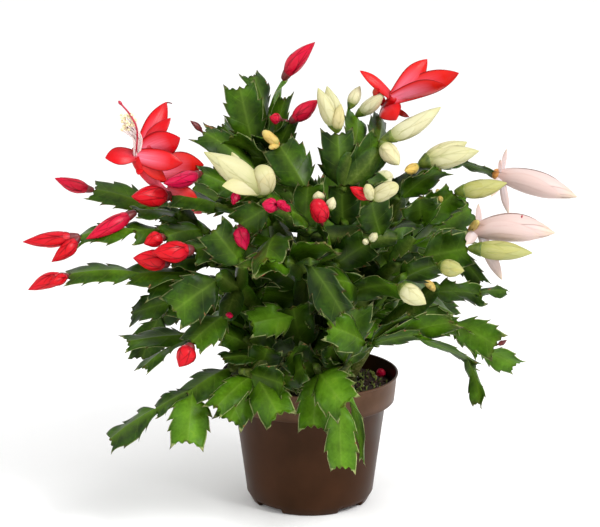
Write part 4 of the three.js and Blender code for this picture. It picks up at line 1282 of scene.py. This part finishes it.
def budPetal(base, axis, length, radius, outline, angle, layer, look, sway):
    _, start, stop, cover, stand = layer
    form = budPetalForm
    v = np.linspace(0, 1, form["rows"])
    spread = np.linspace(-1, 1, form["columns"])
    along = start + (stop - start) * v
    rings = curveThrough(outline, 80)
    reach = np.interp(along, rings[:, 0], rings[:, 1]) * radius
    share = np.minimum(1, form["foot"] + form["opening"] * v) * np.sqrt(np.clip(1 - v ** 2.6, 0.004, 1))
    first, second = crossAxes(axis)
    turn = angle + math.radians(cover) * share[:, None] * spread
    edge = form["edge"] * np.abs(spread) ** 3 * np.sin(v * math.pi)[:, None]
    out = reach[:, None] + stand * (form["footStand"] + 0.4 * v[:, None]) + edge
    spoke = np.cos(turn)[..., None] * first + np.sin(turn)[..., None] * second
    middle = base + np.outer(along * length, axis) + np.outer(np.sin(along * math.pi), sway)
    points = middle[:, None, :] + out[..., None] * spoke
    uv = stripUv(spread, v[:, None] * (0.35 + 0.65 * stop), turn.shape)
    return makePart(points, [gridFaces(*turn.shape)], uv, look)


def budParts(base, tip, radius, family, hue, random, warm=0.0, start=0.0, sag=None):
    parts = []
    if start > 0:
        # The bud stands on a short green stalk
        foot = base + (tip - base) * (start + 0.03)
        parts.append(tubePart([base, (base + foot) / 2, foot], 1.0, 8, material=1))
        base = base + (tip - base) * start
    reach = tip - base
    length = float(np.linalg.norm(reach))
    axis = reach / length
    first, second = crossAxes(axis)
    sway = (first * (random() - 0.5) + second * (random() - 0.5)) * length * budForm["bend"]
    if sag is not None:
        sway = np.array(sag, float)
    look = (hue, random(), 0, warm)
    outline = bodyRings[family]
    cup, body = curveThrough(cupRings[family], budForm["cupRows"]), curveThrough(outline, budForm["rows"])
    cupRadius = radius * budForm["cupWider"]
    parts += [
        revolvePart(base, axis, length, cup, cupRadius, budForm["cupSides"], look, 1, sway),
        revolvePart(base, axis, length, body, radius, budForm["sides"], look, 0, sway),
    ]
    turn = random() * 6.28
    for layer in budLayers[family]:
        turn += budForm["layerTurn"]
        count = layer[0]
        for k in range(count):
            angle = turn + k / count * 2 * math.pi + (random() - 0.5) * budForm["turn"]
            shade = (
                hue + budForm["hue"] * (random() - 0.5),
                random(),
                budForm["white"] * random(),
                warm + budForm["warm"] * random(),
            )
            parts.append(budPetal(base, axis, length, radius, outline, angle, layer, shade, sway))
    return parts


def budSeat(name):
    blade = limbs[name][-1]
    return placeOn(blade, growth["budAt"] + growth["budStand"] / blade["length"])


# Each bud's node, colour, limb and tips: [pixel across, pixel down, how much further away, radius], then
# where it starts if it has a stalk, how orange it is and how far to the side it stands
buds = [
    ["red_bud_top", "crimson", "ribbed", [[315, 42, -6, 5.4]]],
    ["red_buds_upper", "crimson", "budFoot", [[318, 100, -6, 5.2], [269.5, 117, -2, 3.5, 0.42]]],
    ["red_bud_far_left", "crimson", "leftTop", [[54.5, 178, -4, 4.4]]],
    ["red_bud_left_edge", "crimson", "leftEdge", [[86, 239, -16, 5.2]]],
    ["red_buds_left", "red", "leftMid", [[22.5, 242, -4, 5], [51.5, 262, -10, 4.6]]],
    ["red_buds_left_low", "red", "leftLong", [[28, 290, -4, 4.8], [49, 285, -12, 3.6]]],
    ["red_bud_arm", "magenta", "budArm", [[163.5, 183.5, -28, 5]]],
    ["red_bud_round", "red", "redArm", [[131.5, 196.5, -20, 6.8]]],
    ["red_bud_twig", "red", "budTwig", [[144, 244, -6, 4.8]]],
    ["red_bud_second", "red", "budTwo", [[152.5, 252, -12, 6.8]]],
    ["red_bud_third", "red", "budThree", [[133, 258, -6, 6.6]]],
    ["red_bud_hanging", "magenta", "hangBud", [[246, 250, -10, 5.4]]],
    ["red_bud_low", "red", "lowArm", [[179, 367, -8, 6.2]]],
    ["magenta_buds", "magenta", "magentaArm", [
        [262, 204, -8, 4.6, 0.42], [277, 201, -12, 2.6, 0.36], [281, 206, -16, 2.3, 0.05]]],
    ["red_bud_front", "redBall", "roundHold", [[316, 201, -16, 5.6, 0.16]]],
    ["red_bud_small", "red", "ovalHold", [[350, 187, -6, 3.6]]],
    ["cream_buds_upper_left", "orange", "centreTop", [[263, 131, -6, 3.1], [269, 148, -6, 1.8]]],
    ["cream_buds_crown", "pale", "crown", [
        [318, 88, -4, 5.2], [327, 86, 8, 5.4], [341, 104, -6, 4, 0.0, 0.25]]],
    ["cream_buds_crown_back", "cream", "crownBack", [
        [360, 86, 4, 3.8, 0.0, 0.0, 7.5], [385, 91, -4, 4.4, 0.0, 0.0, 0.5]]],
    ["cream_buds_right_top", "cream", "crownTwo", [[441, 107, -10, 5.8], [399, 165, -16, 5.6, 0.0, 0.1]]],
    ["cream_buds_pair", "pale", "pairArm", [
        [467, 142, 4, 6.8], [479, 151, -8, 6.8], [404.5, 171, -12, 3.2, 0.0, 0.9]]],
    ["cream_bud_right", "lime", "rightTop", [[507, 183, -8, 5.8]]],
    ["cream_bud_far_right", "lime", "rightBud", [[532.5, 253, -8, 6]]],
    ["cream_bud_right_front", "lime", "creamArm", [[464, 271, -10, 5.3]]],
    ["cream_bud_low", "pale", "midBud", [[426, 304, -12, 6]]],
    ["cream_bud_round", "creamBall", "roundArm", [[262, 166, -8, 7.2]]],
    ["cream_buds_front", "cream", "roundHold", [[318, 191, 8, 3.6, 0.68], [333.5, 197, 0, 3.0, 0.5]]],
    ["cream_buds_oval", "creamBall", "ovalHold", [[398, 185, -8, 5.0], [367, 185, -10, 3.2]]],
]
# At the ends of back chains: each bud's length, radius, lean to the side and lift
backBuds = [
    ["cream_buds_back_right", "cream", "back_1_3", [[24, 5.2, 0.2, 0.3], [15, 4.2, -0.6, 0.2]]],
    ["cream_bud_back", "cream", "back_3_1", [[27, 6, 0, 0.35]]],
    ["red_bud_back_low", "red", "back_2_3", [[24, 5.6, -0.2, 0.2]]],
    ["red_buds_back_high", "red", "back_5_1", [[26, 5.8, 0.25, 0.3], [17, 4.6, -0.5, 0.1]]],
    ["red_buds_back_left", "red", "back_6_2", [[25, 5.6, 0.1, 0.2], [16, 4.4, -0.7, 0.1]]],
]
# A bud's form, hue, how orange it is, materials and slot
budLooks = {
    "red": ("red", 0.1, 0.0, [redSkin, redCup], "red_petal"),
    "redBall": ("ball", 0.25, 0.0, [redSkin, redCup], "red_petal"),
    "crimson": ("red", 0.45, 0.0, [redSkin, redCup], "red_petal"),
    "magenta": ("red", 0.9, 0.0, [redSkin, redCup], "red_petal"),
    "cream": ("cream", 0.1, 0.0, [creamSkin, greenCup], "cream_petal"),
    "creamBall": ("ball", 0.25, 0.08, [creamSkin, greenCup], "cream_petal"),
    "pale": ("cream", 0.3, 0.0, [creamSkin, greenCup], "cream_petal"),
    "lime": ("cream", 0.84, 0.0, [creamSkin, greenCup], "cream_petal"),
    "orange": ("ball", 0.1, 0.8, [creamSkin, orangeCup], "cream_petal"),
    "dark": ("red", 0.5, 0.0, [redCup, redCup], "red_petal"),
    "fallen": ("red", 0.75, 0.0, [redSkin, redCup], "red_petal"),
}
# Small buds at the areoles: limb, segment, place along it, pixel across, pixel down, how much further
# away, radius
areoleBuds = {
    "cream": [["dots", -1, 0.96, 377, 233, -4, 2.4], ["dots", -1, 0.92, 363, 240, -3, 1.9]],
    "orange": [
        ["flatRight", 0, 0.05, 424, 280, -5, 2.1],
        ["flatRight", 0, 0.08, 430, 285, -5, 1.9], ["rightTop", 1, 0.6, 437, 189, -4, 2.0],
        ["paleArm", -1, 1.0, 478, 221, -14, 2.2]],
    "magenta": [
        ["budArm", -1, 0.2, 233, 205, -9, 3.0], ["shelfOne", -1, 0.6, 262, 276, -4, 2.2],
        ["lowArm", -1, 0.08, 233, 316, -5, 1.9]],
    "dark": [["shade", -1, 0.96, 190, 120.5, -2, 1.7], ["lowRight", -1, 0.96, 507, 340, -2, 1.3]],
}
# The bud that fell on the soil: its foot, its tip and its radius
fallenBud = {"foot": np.array([47, 27.6, 81.9]), "tip": np.array([51.3, 17.4, 81.7]), "radius": 3.2}


# One piece of buds. Each row is a foot, a tip and a radius, and may say how orange the bud is and where
# it starts
def addBuds(name, kind, rows, random, stands=()):
    family, hue, warm, materials, slot = budLooks[kind]
    parts = []
    for foot, tip, radius, *extra in rows:
        parts += budParts(foot, tip, radius, family, hue, random, *(extra or [warm]))
    makePiece(name, parts, materials, stands)


def growBuds():
    random = seeded(5003)
    for node, kind, limb, tips in buds:
        base, rows = budSeat(limb), []
        for px, py, further, radius, *extra in tips:
            start, gold, shift = extra + [0.0, budLooks[kind][2], 0.0][len(extra):]
            foot = base + limbs[limb][-1]["side"] * shift
            rows.append((foot, seen(px, py, base[1] + further), radius, gold, start))
        addBuds(f"buds_{node}", kind, rows, random, [node])
    for node, kind, chain, sizes in backBuds:
        base, rows = budSeat(chain), []
        blade = limbs[chain][-1]
        for length, radius, lean, lift in sizes:
            way = unit(blade["axis"] + blade["side"] * lean + np.array([0, 0, lift]))
            rows.append((base, base + way * length, radius))
        addBuds(f"buds_{node}", kind, rows, random, [node])
    for kind, marks in areoleBuds.items():
        rows = []
        for limb, index, along, px, py, further, radius in marks:
            base = placeOn(limbs[limb][index], along)
            rows.append((base, seen(px, py, base[1] + further), radius))
        addBuds(f"areole_buds_{kind}", kind, rows, random)
    fallenRow = (fallenBud["foot"], fallenBud["tip"], fallenBud["radius"])
    addBuds("buds_red_bud_fallen", "fallen", [fallenRow], random, ["red_bud_fallen"])


growBuds()
print("buds made", round(time.time() - started, 1), "s")


# Blooms

petalStations = [
    (0.0, 0.6), (0.1, 0.7), (0.25, 0.86), (0.42, 0.98), (0.56, 1.0), (0.69, 0.9), (0.8, 0.7), (0.9, 0.42),
    (0.96, 0.2), (1.0, 0.02)]
tubeStations = [
    (0.0, 0.12), (0.04, 0.42), (0.12, 0.52), (0.18, 0.5), (0.35, 0.6), (0.6, 0.76), (0.85, 0.9),
    (0.97, 0.8), (1.0, 0.5)]
petalForm = {"rows": 20, "columns": 13, "arch": 0.08, "wave": 0.25, "crease": -0.5, "creaseShare": 0.12}


def petalPart(base, tip, width, turn, look, cup, recurve, random):
    blade = makeBlade(base, tip, width, turn, petalForm["arch"], "leaf")
    v, wide = (column[:, None] for column in curveThrough(petalStations, petalForm["rows"]).T)
    wide = np.clip(wide, 0.02, 1) * blade["half"]
    spread = np.linspace(-1, 1, petalForm["columns"])
    across = wide * spread
    up = -1 if blade["facing"][2] < 0 else 1
    wave = petalForm["wave"] * np.sin(v * 8 + random() * 6) * np.abs(spread) ** 2
    lift = arch(blade, v) + cup * wide * (1 - spread ** 2) + wave
    lift = lift + up * recurve * blade["length"] * np.clip(v - 0.55, 0, 1) ** 2
    crease = petalForm["crease"] * np.exp(-((spread / petalForm["creaseShare"]) ** 2)) * (1 - v)
    points = pointsOn(blade, v, across, lift + crease)
    return makePart(points, [gridFaces(*across.shape)], stripUv(spread, v, across.shape), look)


# A bloom's node, colour, limb, mouth [pixel across, pixel down, depth], tube's radius and petals. A petal:
# share of the tube, pixel across, pixel down, depth, width, turn, cup, recurve, white, warm
blooms = [
    ["red_bloom_left", "red", "redArm", [136, 156, -60], 5.2, [
        [0.96, 166, 102, -44, 14, 10, 0.25, 0.1, 0.8, 0], [0.95, 171, 118, -56, 11, -20, 0.3, 0.1, 0.4, 0],
        [1.0, 180, 138, -66, 19, 15, 0.3, 0.1, 1.3, 0], [1.02, 183, 163, -68, 14, 10, 0.3, 0, 1.0, 0.1],
        [0.6, 204, 165, -36, 21, 20, 0.3, 0, 1.1, 0.5], [0.95, 166, 181, -62, 9, 0, 0.3, 0, 0.2, 0.6],
        [1.0, 105, 158, -66, 13.5, 30, 0.2, 0, 0.2, 0], [0.8, 138, 175, -64, 6, 30, 0.2, 0, 0.0, 0],
        [0.15, 199, 203, -50, 14, 10, 0.3, 0, 0.4, 0.6]]],
    ["red_bloom_right", "red", "redHold", [394, 97, -12], 3.4, [
        [0.95, 427, 59, -4, 14, 10, 0.3, 0.1, 1.1, 0.4], [0.95, 459, 73, -16, 16, 15, 0.3, 0, 1.0, 0.5],
        [0.95, 446, 85, -28, 14, 40, 0.3, 0, 1.5, 0.5], [0.9, 359, 71, -10, 8, 30, 0.3, 0.2, 0.15, 0.3],
        [0.4, 374, 88, -24, 6, 0, 0.2, 0, 0.1, 0.1], [0.5, 396, 120, -26, 16, 0, 0.3, 0, 0.3, 0.3],
        [0.3, 409, 117, -18, 6, 40, 0.2, 0, 0.1, 0.1]]],
    ["pink_bloom_upper", "pink", "edgeArm", [524, 182, -14], 7.4, [
        [0.3, 507, 149, -12, 3.4, 20, 0.3, 0.1, 0.9, 0], [0.3, 501, 160, -26, 3, 30, 0.3, 0.1, 0.9, 0.3],
        [0.3, 491, 197, -22, 6, 0, 0.3, 0, 0.9, 0], [0.3, 509, 214, -14, 5.5, 20, 0.3, 0.15, 0.9, 0]]],
    ["pink_bloom_lower", "pink", "paleArm", [507, 228, -60], 7.6, [
        [0.3, 479, 204, -56, 4.2, 20, 0.3, 0.3, 0.9, 0], [0.2, 466, 245, -66, 7, 0, 0.3, 0, 0.9, 0],
        [0.3, 502, 280, -62, 8, 10, 0.3, 0, 0.9, 0]]],
    ["cream_bloom_opening", "cream", "roundArm", [234, 174, -94], 6, [
        [0.6, 232, 152.5, -92, 7, 0, 0.3, 0.3, 0.4, 0], [0.25, 222, 186, -108, 12, 30, 0.3, 0, 0.6, 0.1]]],
]
# Blooms whose main petals are still closed: family, tip, radius, and how the middle sags
closedForms = {
    "pink_bloom_upper": ["pink", [577, 197, -22], 7.8, (0, 0, 1.5)],
    "pink_bloom_lower": ["pink", [555, 233, -68], 8.8, (0, 0, 3.2)],
    "cream_bloom_opening": ["opening", [204, 152, -100], 8.2, (0, 0, 2.0)],
}
# The tubes of the open blooms hang down a little in the middle
tubeSway = np.array([-2.0, 0, -1.6])
# A bloom's hue, materials and slot
bloomLooks = {
    "red": (0.0, [redSkin, redCup, filament, anther, stylePink], "red_petal"),
    "pink": (0.0, [pinkSkin, orangeCup, filament, anther, stylePink], "pink_petal"),
    "cream": (0.38, [creamSkin, greenCup, filament, anther, stylePink], "cream_petal"),
}
# Where the threads' ends show, as pixels and a depth with how much more each, how their feet spread, how
# they bend, their radius, and the pollen heads
stamens = {
    "count": 42,
    "ends": [(121, 15), (113, 17), (-80, 10)],
    "feet": (3.4, 3, 3),
    "bend": (2.5, 2),
    "rise": 1.5,
    "radius": 0.36,
    "head": 1.6,
    "headRadius": 1.4,
    "headRings": [(0, 0.2), (0.3, 0.8), (0.7, 0.8), (1, 0.2)],
}
# The style stands out past the threads and ends in a thicker stigma
style = {
    "route": [[137, 131, -78], [131, 116, -79], [121, 104, -80]],
    "from": [125, 109, -80],
    "radius": 0.6,
    "tip": 3.6,
    "tipRadius": 1.1,
    "rings": [(0, 0.3), (0.3, 0.9), (0.7, 1.0), (1, 0.3)],
}
# The topmost petal of the left bloom ends in a dark hook
hook = {
    "route": [[165.5, 103.5, -44], [168, 102.5, -45], [172, 103.5, -46]],
    "radii": [0.7, 0.6, 0.5, 0.45, 0.4, 0.3],
}
# The style of the lower pink bloom shows between two petals
pinkStyle = {"place": [521.5, 218, -74], "axis": [0.2, -0.5, 1.0], "length": 2.6, "radius": 0.7}


def stamenParts(mouth, random):
    parts = []
    for _ in range(stamens["count"]):
        end = seen(*[drawn(random, pair) for pair in stamens["ends"]])
        start = mouth + np.array([wide * (random() - 0.5) for wide in stamens["feet"]])
        bend = (start + end) / 2 + np.array([drawn(random, stamens["bend"]), 0, stamens["rise"]])
        parts.append(tubePart(curveThrough([start, bend, end], 9), stamens["radius"], 5, material=2))
        head = unit(np.array([random() - 0.5 for _ in range(3)]))
        foot = end - head * (stamens["head"] / 2)
        size = stamens["head"], stamens["headRings"], stamens["headRadius"]
        parts.append(revolvePart(foot, head, *size, 6, material=3))
    route = [seen(*place) for place in style["route"]]
    parts.append(tubePart(curveThrough([mouth, *route], 14), style["radius"], 8, material=4))
    way = unit(route[-1] - seen(*style["from"]))
    size = style["tip"], style["rings"], style["tipRadius"]
    parts.append(revolvePart(route[-1] - way, way, *size, 8, material=4))
    return parts


def growBlooms():
    random = seeded(6007)
    for node, kind, limb, mouth, radius, petals in blooms:
        base, mouth = budSeat(limb), seen(*mouth)
        reach = mouth - base
        length = float(np.linalg.norm(reach))
        axis = reach / length
        hue, materials, slot = bloomLooks[kind]
        look = (hue, random(), 1.0, 0.1)
        rings = curveThrough(tubeStations, 24)
        if node in closedForms:
            family, tip, full, sag = closedForms[node]
            parts = budParts(base, seen(*tip), full, family, hue, random, sag=sag)
        else:
            parts = [
                revolvePart(base, axis, length, rings[:6], radius, 24, look, 1, tubeSway),
                revolvePart(base, axis, length, rings[5:], radius, 24, look, 0, tubeSway),
            ]
        for share, px, py, depth, width, turn, cup, recurve, white, warm in petals:
            look = (hue, random(), white, warm)
            tip = seen(px, py, depth)
            parts.append(petalPart(base + reach * share, tip, width, turn, look, cup, recurve, random))
        if node == "red_bloom_left":
            parts += stamenParts(mouth, random)
            path = curveThrough([seen(*place) for place in hook["route"]], len(hook["radii"]))
            parts.append(tubePart(path, hook["radii"], 6, material=1))
        if node == "pink_bloom_lower":
            way, rings = unit(np.array(pinkStyle["axis"])), [(0, 0.3), (0.5, 1), (1, 0.2)]
            size = pinkStyle["length"], rings, pinkStyle["radius"]
            parts.append(revolvePart(seen(*pinkStyle["place"]), way, *size, 8, material=4))
        makePiece(f"petals_{node}", parts, materials, [node])


growBlooms()
print("blooms made", round(time.time() - started, 1), "s")


# Nursery pot: a thin lathe with a stepped band, a rounded lip and four drain notches in the foot

# The lathe's rows that are the outside, whose band takes the dust and painted sheen, and the foot's rim,
# the notches' turn and slope in millimetres, and the angle from which an edge is sharp
potForm = {"dustAndSheenRows": 20, "rimRows": (3, 8), "notchTurn": -45, "notchSlope": 1.5, "sharp": 40}


def potPart():
    band = pot["height"] - pot["bandHeight"]
    wall, lip, foot, base = pot["wall"], pot["lipRadius"], pot["footRadius"], pot["baseRadius"]
    shoulder, wide = pot["shoulderRadius"], pot["bandRadius"]
    outline = [
        (0, 1.2), (30, 1.2), (34.5, 1.0), (36, 0.2), (37, 0), (base, 0), (base + 0.6, 0.5), (41.3, 3.8),
        (foot, pot["bevel"]), (45.0, 21), (48.3, 45.5), (shoulder, band - 0.8), (52.1, band - 0.1),
        (wide - 0.8, band), (wide, band + 0.8), (58.4, 81), (lip - 0.9, 88.3), (lip - 0.2, 88.7),
        (lip, 89.2), (lip - 0.15, 89.8), (lip - 0.65, 90), (lip - wall, 89.7), (57.4, 81),
        (wide - wall, band + wall), (shoulder - wall, band + wall), (foot - wall, pot["bevel"] + 0.5),
        (base - 0.5, pot["floor"]), (0, pot["floor"]),
    ]
    angles = anglesOf(pot["sides"])
    radius, z = (column[:, None] for column in np.array(outline, float).T)
    radius = np.maximum(radius, 0.01)
    points = np.stack(np.broadcast_arrays(radius * np.cos(angles), radius * np.sin(angles), z), axis=-1)
    # The foot is raised where a drain notch cuts it
    sector = 2 * math.pi / pot["drains"]
    turned = angles - math.radians(potForm["notchTurn"])
    off = np.abs((turned + sector / 2) % sector - sector / 2) * pot["baseRadius"]
    notch = (pot["drainWidth"] / 2 + 1 - off) / potForm["notchSlope"]
    rim = points[slice(*potForm["rimRows"]), :, 2]
    rim[:] = np.maximum(rim, np.clip(notch, 0, 1) * pot["drainHeight"])
    uv = np.stack(np.broadcast_arrays(angles / 6.2832, z / pot["height"]), axis=-1)
    look = np.zeros((*points.shape[:2], 4))
    look[: potForm["dustAndSheenRows"], :, 0] = 1
    return makePart(points, [gridFaces(*points.shape[:2], True)], uv, look.reshape(-1, 4))


potPiece = makePiece("pot_shell", [potPart()], [plastic], ["pot"])
potPiece.data.set_sharp_from_angle(angle=math.radians(potForm["sharp"]))
print("pot made", round(time.time() - started, 1), "s")


# Peat: a lumpy disc, with bark, moss and grit scattered over it by Geometry Nodes

# Its mesh, the wall's clear edge, the lumps' waves and their sizes and shares, and the skirt below
peatForm = {
    "rings": 64,
    "sides": 200,
    "reach": 56.9,
    "edge": 10,
    "waves": 24,
    "lumps": 7,
    "lumpShare": 0.5,
    "crumbs": 2.8,
    "crumbShare": 0.3,
    "skirt": 74,
    "skirtShare": 0.975,
    "clearRings": 4,
}
# What lies on it: how many to a square metre, the seed, the least and the largest scale
litter = [
    ["bark_chips", barkChip, 60000, 11, 0.5, 1.6],
    ["moss_strands", mossGreen, 34000, 12, 0.7, 1.6],
    ["pale_grit", grit, 18000, 13, 0.3, 1.0],
]


def lumps(x, y, random, size):
    total = np.zeros_like(x)
    for _ in range(peatForm["waves"]):
        angle, phase = random() * 6.28, random() * 6.28
        rate = (0.6 + 0.9 * random()) * 2 * math.pi / size
        total += np.sin((x * math.cos(angle) + y * math.sin(angle)) * rate + phase)
    return total / math.sqrt(peatForm["waves"])


def soilGrid():
    random = seeded(7013)
    radius = np.linspace(0.5, peatForm["reach"], peatForm["rings"])[:, None]
    angles = anglesOf(peatForm["sides"])
    x, y = radius * np.cos(angles), radius * np.sin(angles)
    edge = np.clip((peatForm["reach"] - radius) / peatForm["edge"], 0, 1)
    hills = soilHill * edge * (0.5 * np.sin(x / 6.5 + 1) + 0.5 * np.cos(y / 7.5 + x / 15))
    rough = peatForm["lumpShare"] * lumps(x, y, random, peatForm["lumps"])
    rough = rough + peatForm["crumbShare"] * lumps(x, y, random, peatForm["crumbs"])
    return np.stack([x, y, soilTop + hills + rough * (0.35 + 0.65 * edge)], axis=-1)


def soilPart(grid):
    skirt = grid[-1].copy()
    skirt[:, :2] *= peatForm["skirtShare"]
    skirt[:, 2] = peatForm["skirt"]
    points = np.concatenate([grid, skirt[None]])
    faces = [gridFaces(*points.shape[:2], True), np.arange(peatForm["sides"])[::-1][None]]
    return makePart(points, faces, points[..., :2] / (2 * pot["lipRadius"]) + 0.5)


def scatterGroup():
    group = bpy.data.node_groups.new("scatter_bits", "GeometryNodeTree")
    face = group.interface
    kinds = {"Geometry": "Geometry", "Bit": "Object", "Density": "Float", "Seed": "Int", "Small": "Float",
             "Large": "Float", "Skin": "Material"}
    for name, kind in kinds.items():
        face.new_socket(name=name, in_out="INPUT", socket_type="NodeSocket" + kind)
    face.new_socket(name="Geometry", in_out="OUTPUT", socket_type="NodeSocketGeometry")
    given = addNode(group, "NodeGroupInput").outputs
    points = addNode(group, "GeometryNodeDistributePointsOnFaces", {
        "Mesh": given["Geometry"], "Density": given["Density"], "Seed": given["Seed"]})
    bit = addNode(group, "GeometryNodeObjectInfo", {"Object": given["Bit"]})
    spin = addNode(group, "FunctionNodeRandomValue", {
        "Min": (-0.6, -0.6, 0.0), "Max": (0.6, 0.6, 6.28), "Seed": given["Seed"]}, data_type="FLOAT_VECTOR")
    size = addNode(group, "FunctionNodeRandomValue", {
        "Min_001": given["Small"], "Max_001": given["Large"], "Seed": given["Seed"]}, data_type="FLOAT")
    copies = addNode(group, "GeometryNodeInstanceOnPoints", {
        "Points": points.outputs["Points"], "Instance": bit.outputs["Geometry"],
        "Rotation": spin.outputs["Value"], "Scale": socketOf(size.outputs, "Value_001")})
    real = addNode(group, "GeometryNodeRealizeInstances", {"Geometry": copies.outputs["Instances"]})
    dressed = addNode(group, "GeometryNodeSetMaterial", {
        "Geometry": real.outputs["Geometry"], "Material": given["Skin"]})
    addNode(group, "NodeGroupOutput", {"Geometry": dressed.outputs["Geometry"]})
    return group


def scatter(name, group, ground, bit, density, seed, small, large, material):
    carrier = addObject(name + "_ground", ground)
    modifier = carrier.modifiers.new("scatter", "NODES")
    modifier.node_group = group
    values = {
        "Bit": bit, "Density": density, "Seed": seed, "Small": small, "Large": large, "Skin": material}
    for item in group.interface.items_tree:
        if item.item_type == "SOCKET" and item.in_out == "INPUT" and item.name in values:
            modifier[item.identifier] = values[item.name]
    bpy.context.view_layer.update()
    graph = bpy.context.evaluated_depsgraph_get()
    mesh = bpy.data.meshes.new_from_object(carrier.evaluated_get(graph))
    carrier.modifiers.remove(modifier)
    bpy.data.objects.remove(carrier)
    mesh.name = name
    piece = addObject(name, mesh)
    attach(piece, "root")


def chipPart(random):
    corners = np.array([(x, y, z) for x in (-1, 1) for y in (-1, 1) for z in (-1, 1)], float)
    corners += np.array([[random() - 0.5 for _ in range(3)] for _ in corners]) * 0.7
    faces = [(0, 1, 3, 2), (4, 6, 7, 5), (0, 4, 5, 1), (2, 3, 7, 6), (0, 2, 6, 4), (1, 5, 7, 3)]
    return makePart(corners * (1.3, 0.75, 0.3), [np.array(faces)])


def mossParts(random):
    parts = []
    for _ in range(3):
        lean = np.array([random() - 0.5, random() - 0.5, 0]) * 3
        path = curveThrough([(0, 0, -0.4), tuple(lean * 0.4 + (0, 0, 1.2)), tuple(lean + (0, 0, 1.9))], 6)
        parts.append(tubePart(path, [0.3, 0.34, 0.32, 0.3, 0.24, 0.1], 5))
    return parts


def addSoil():
    random = seeded(7019)
    grid = soilGrid()
    makePiece("peat_top", [soilPart(grid)], [peat], ["soil"])
    # Loose bits keep clear of the wall
    clear = grid[: -peatForm["clearRings"]]
    clearMesh = makeMesh("open_soil", [makePart(clear, [gridFaces(*clear.shape[:2], True)])], [peat])
    group = scatterGroup()
    forms = {
        "bark_chips": [chipPart(random)],
        "moss_strands": mossParts(random),
        "pale_grit": [chipPart(random)],
    }
    for name, material, density, seed, small, large in litter:
        bit = addObject(name + "_bit", makeMesh(name + "_bit", forms[name], [material]))
        scatter(name, group, clearMesh.copy(), bit, density, seed, small, large, material)
        bpy.data.objects.remove(bit)


addSoil()
print("soil made", round(time.time() - started, 1), "s")


# Studio: pale floor, white surround, a large key light at the right and a weaker one at the left

# The floor's half width and how far it lies below the pot, in millimetres
studioFloor = {"half": 4000, "drop": 0.3}
# Each light's place, diameter and watts, and what they all look at, in metres
lights = [
    ["key_light", (0.9, -1.0, 1.3), 0.6, 24],
    ["fill_light", (-1.3, -0.9, 0.8), 1.0, 5],
]
lightAim = np.array([0, 0, 0.15])


# White paper
def addFloor():
    points = [
        (x * studioFloor["half"], y * studioFloor["half"], -studioFloor["drop"])
        for x, y in ((-1, -1), (1, -1), (1, 1), (-1, 1))
    ]
    material, tree = startMaterial("studio_paper")
    shader = addNode(tree, "ShaderNodeBsdfPrincipled", {
        "Base Color": tint("#FFFFFF"), "Roughness": 0.9, "Specular IOR Level": 0.1})
    endMaterial(tree, shader.outputs["BSDF"])
    sheet = makePart(points, [np.array([[0, 1, 2, 3]])])
    floor = addObject("studio_floor", makeMesh("studio_floor", [sheet], [material]))


def addLight(name, place, size, power):
    data = bpy.data.lights.new(name, "AREA")
    data.shape = "DISK"
    data.size = size
    data.energy = power
    light = bpy.data.objects.new(name, data)
    bpy.context.scene.collection.objects.link(light)
    light.location = place
    way = unit(lightAim - np.array(place, float))
    light.rotation_euler = (math.acos(-way[2]), 0, math.atan2(way[1], way[0]) - math.pi / 2)


def addStudio():
    addFloor()
    for row in lights:
        addLight(*row)
    world = bpy.data.worlds.new("studio_white")
    world.use_nodes = True
    world.node_tree.nodes["Background"].inputs["Color"].default_value = (1, 1, 1, 1)
    world.node_tree.nodes["Background"].inputs["Strength"].default_value = 1.0
    bpy.context.scene.world = world
    bpy.context.scene.view_settings.view_transform = "Standard"


addStudio()

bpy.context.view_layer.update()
print("scene ready", round(time.time() - started, 1), "s")
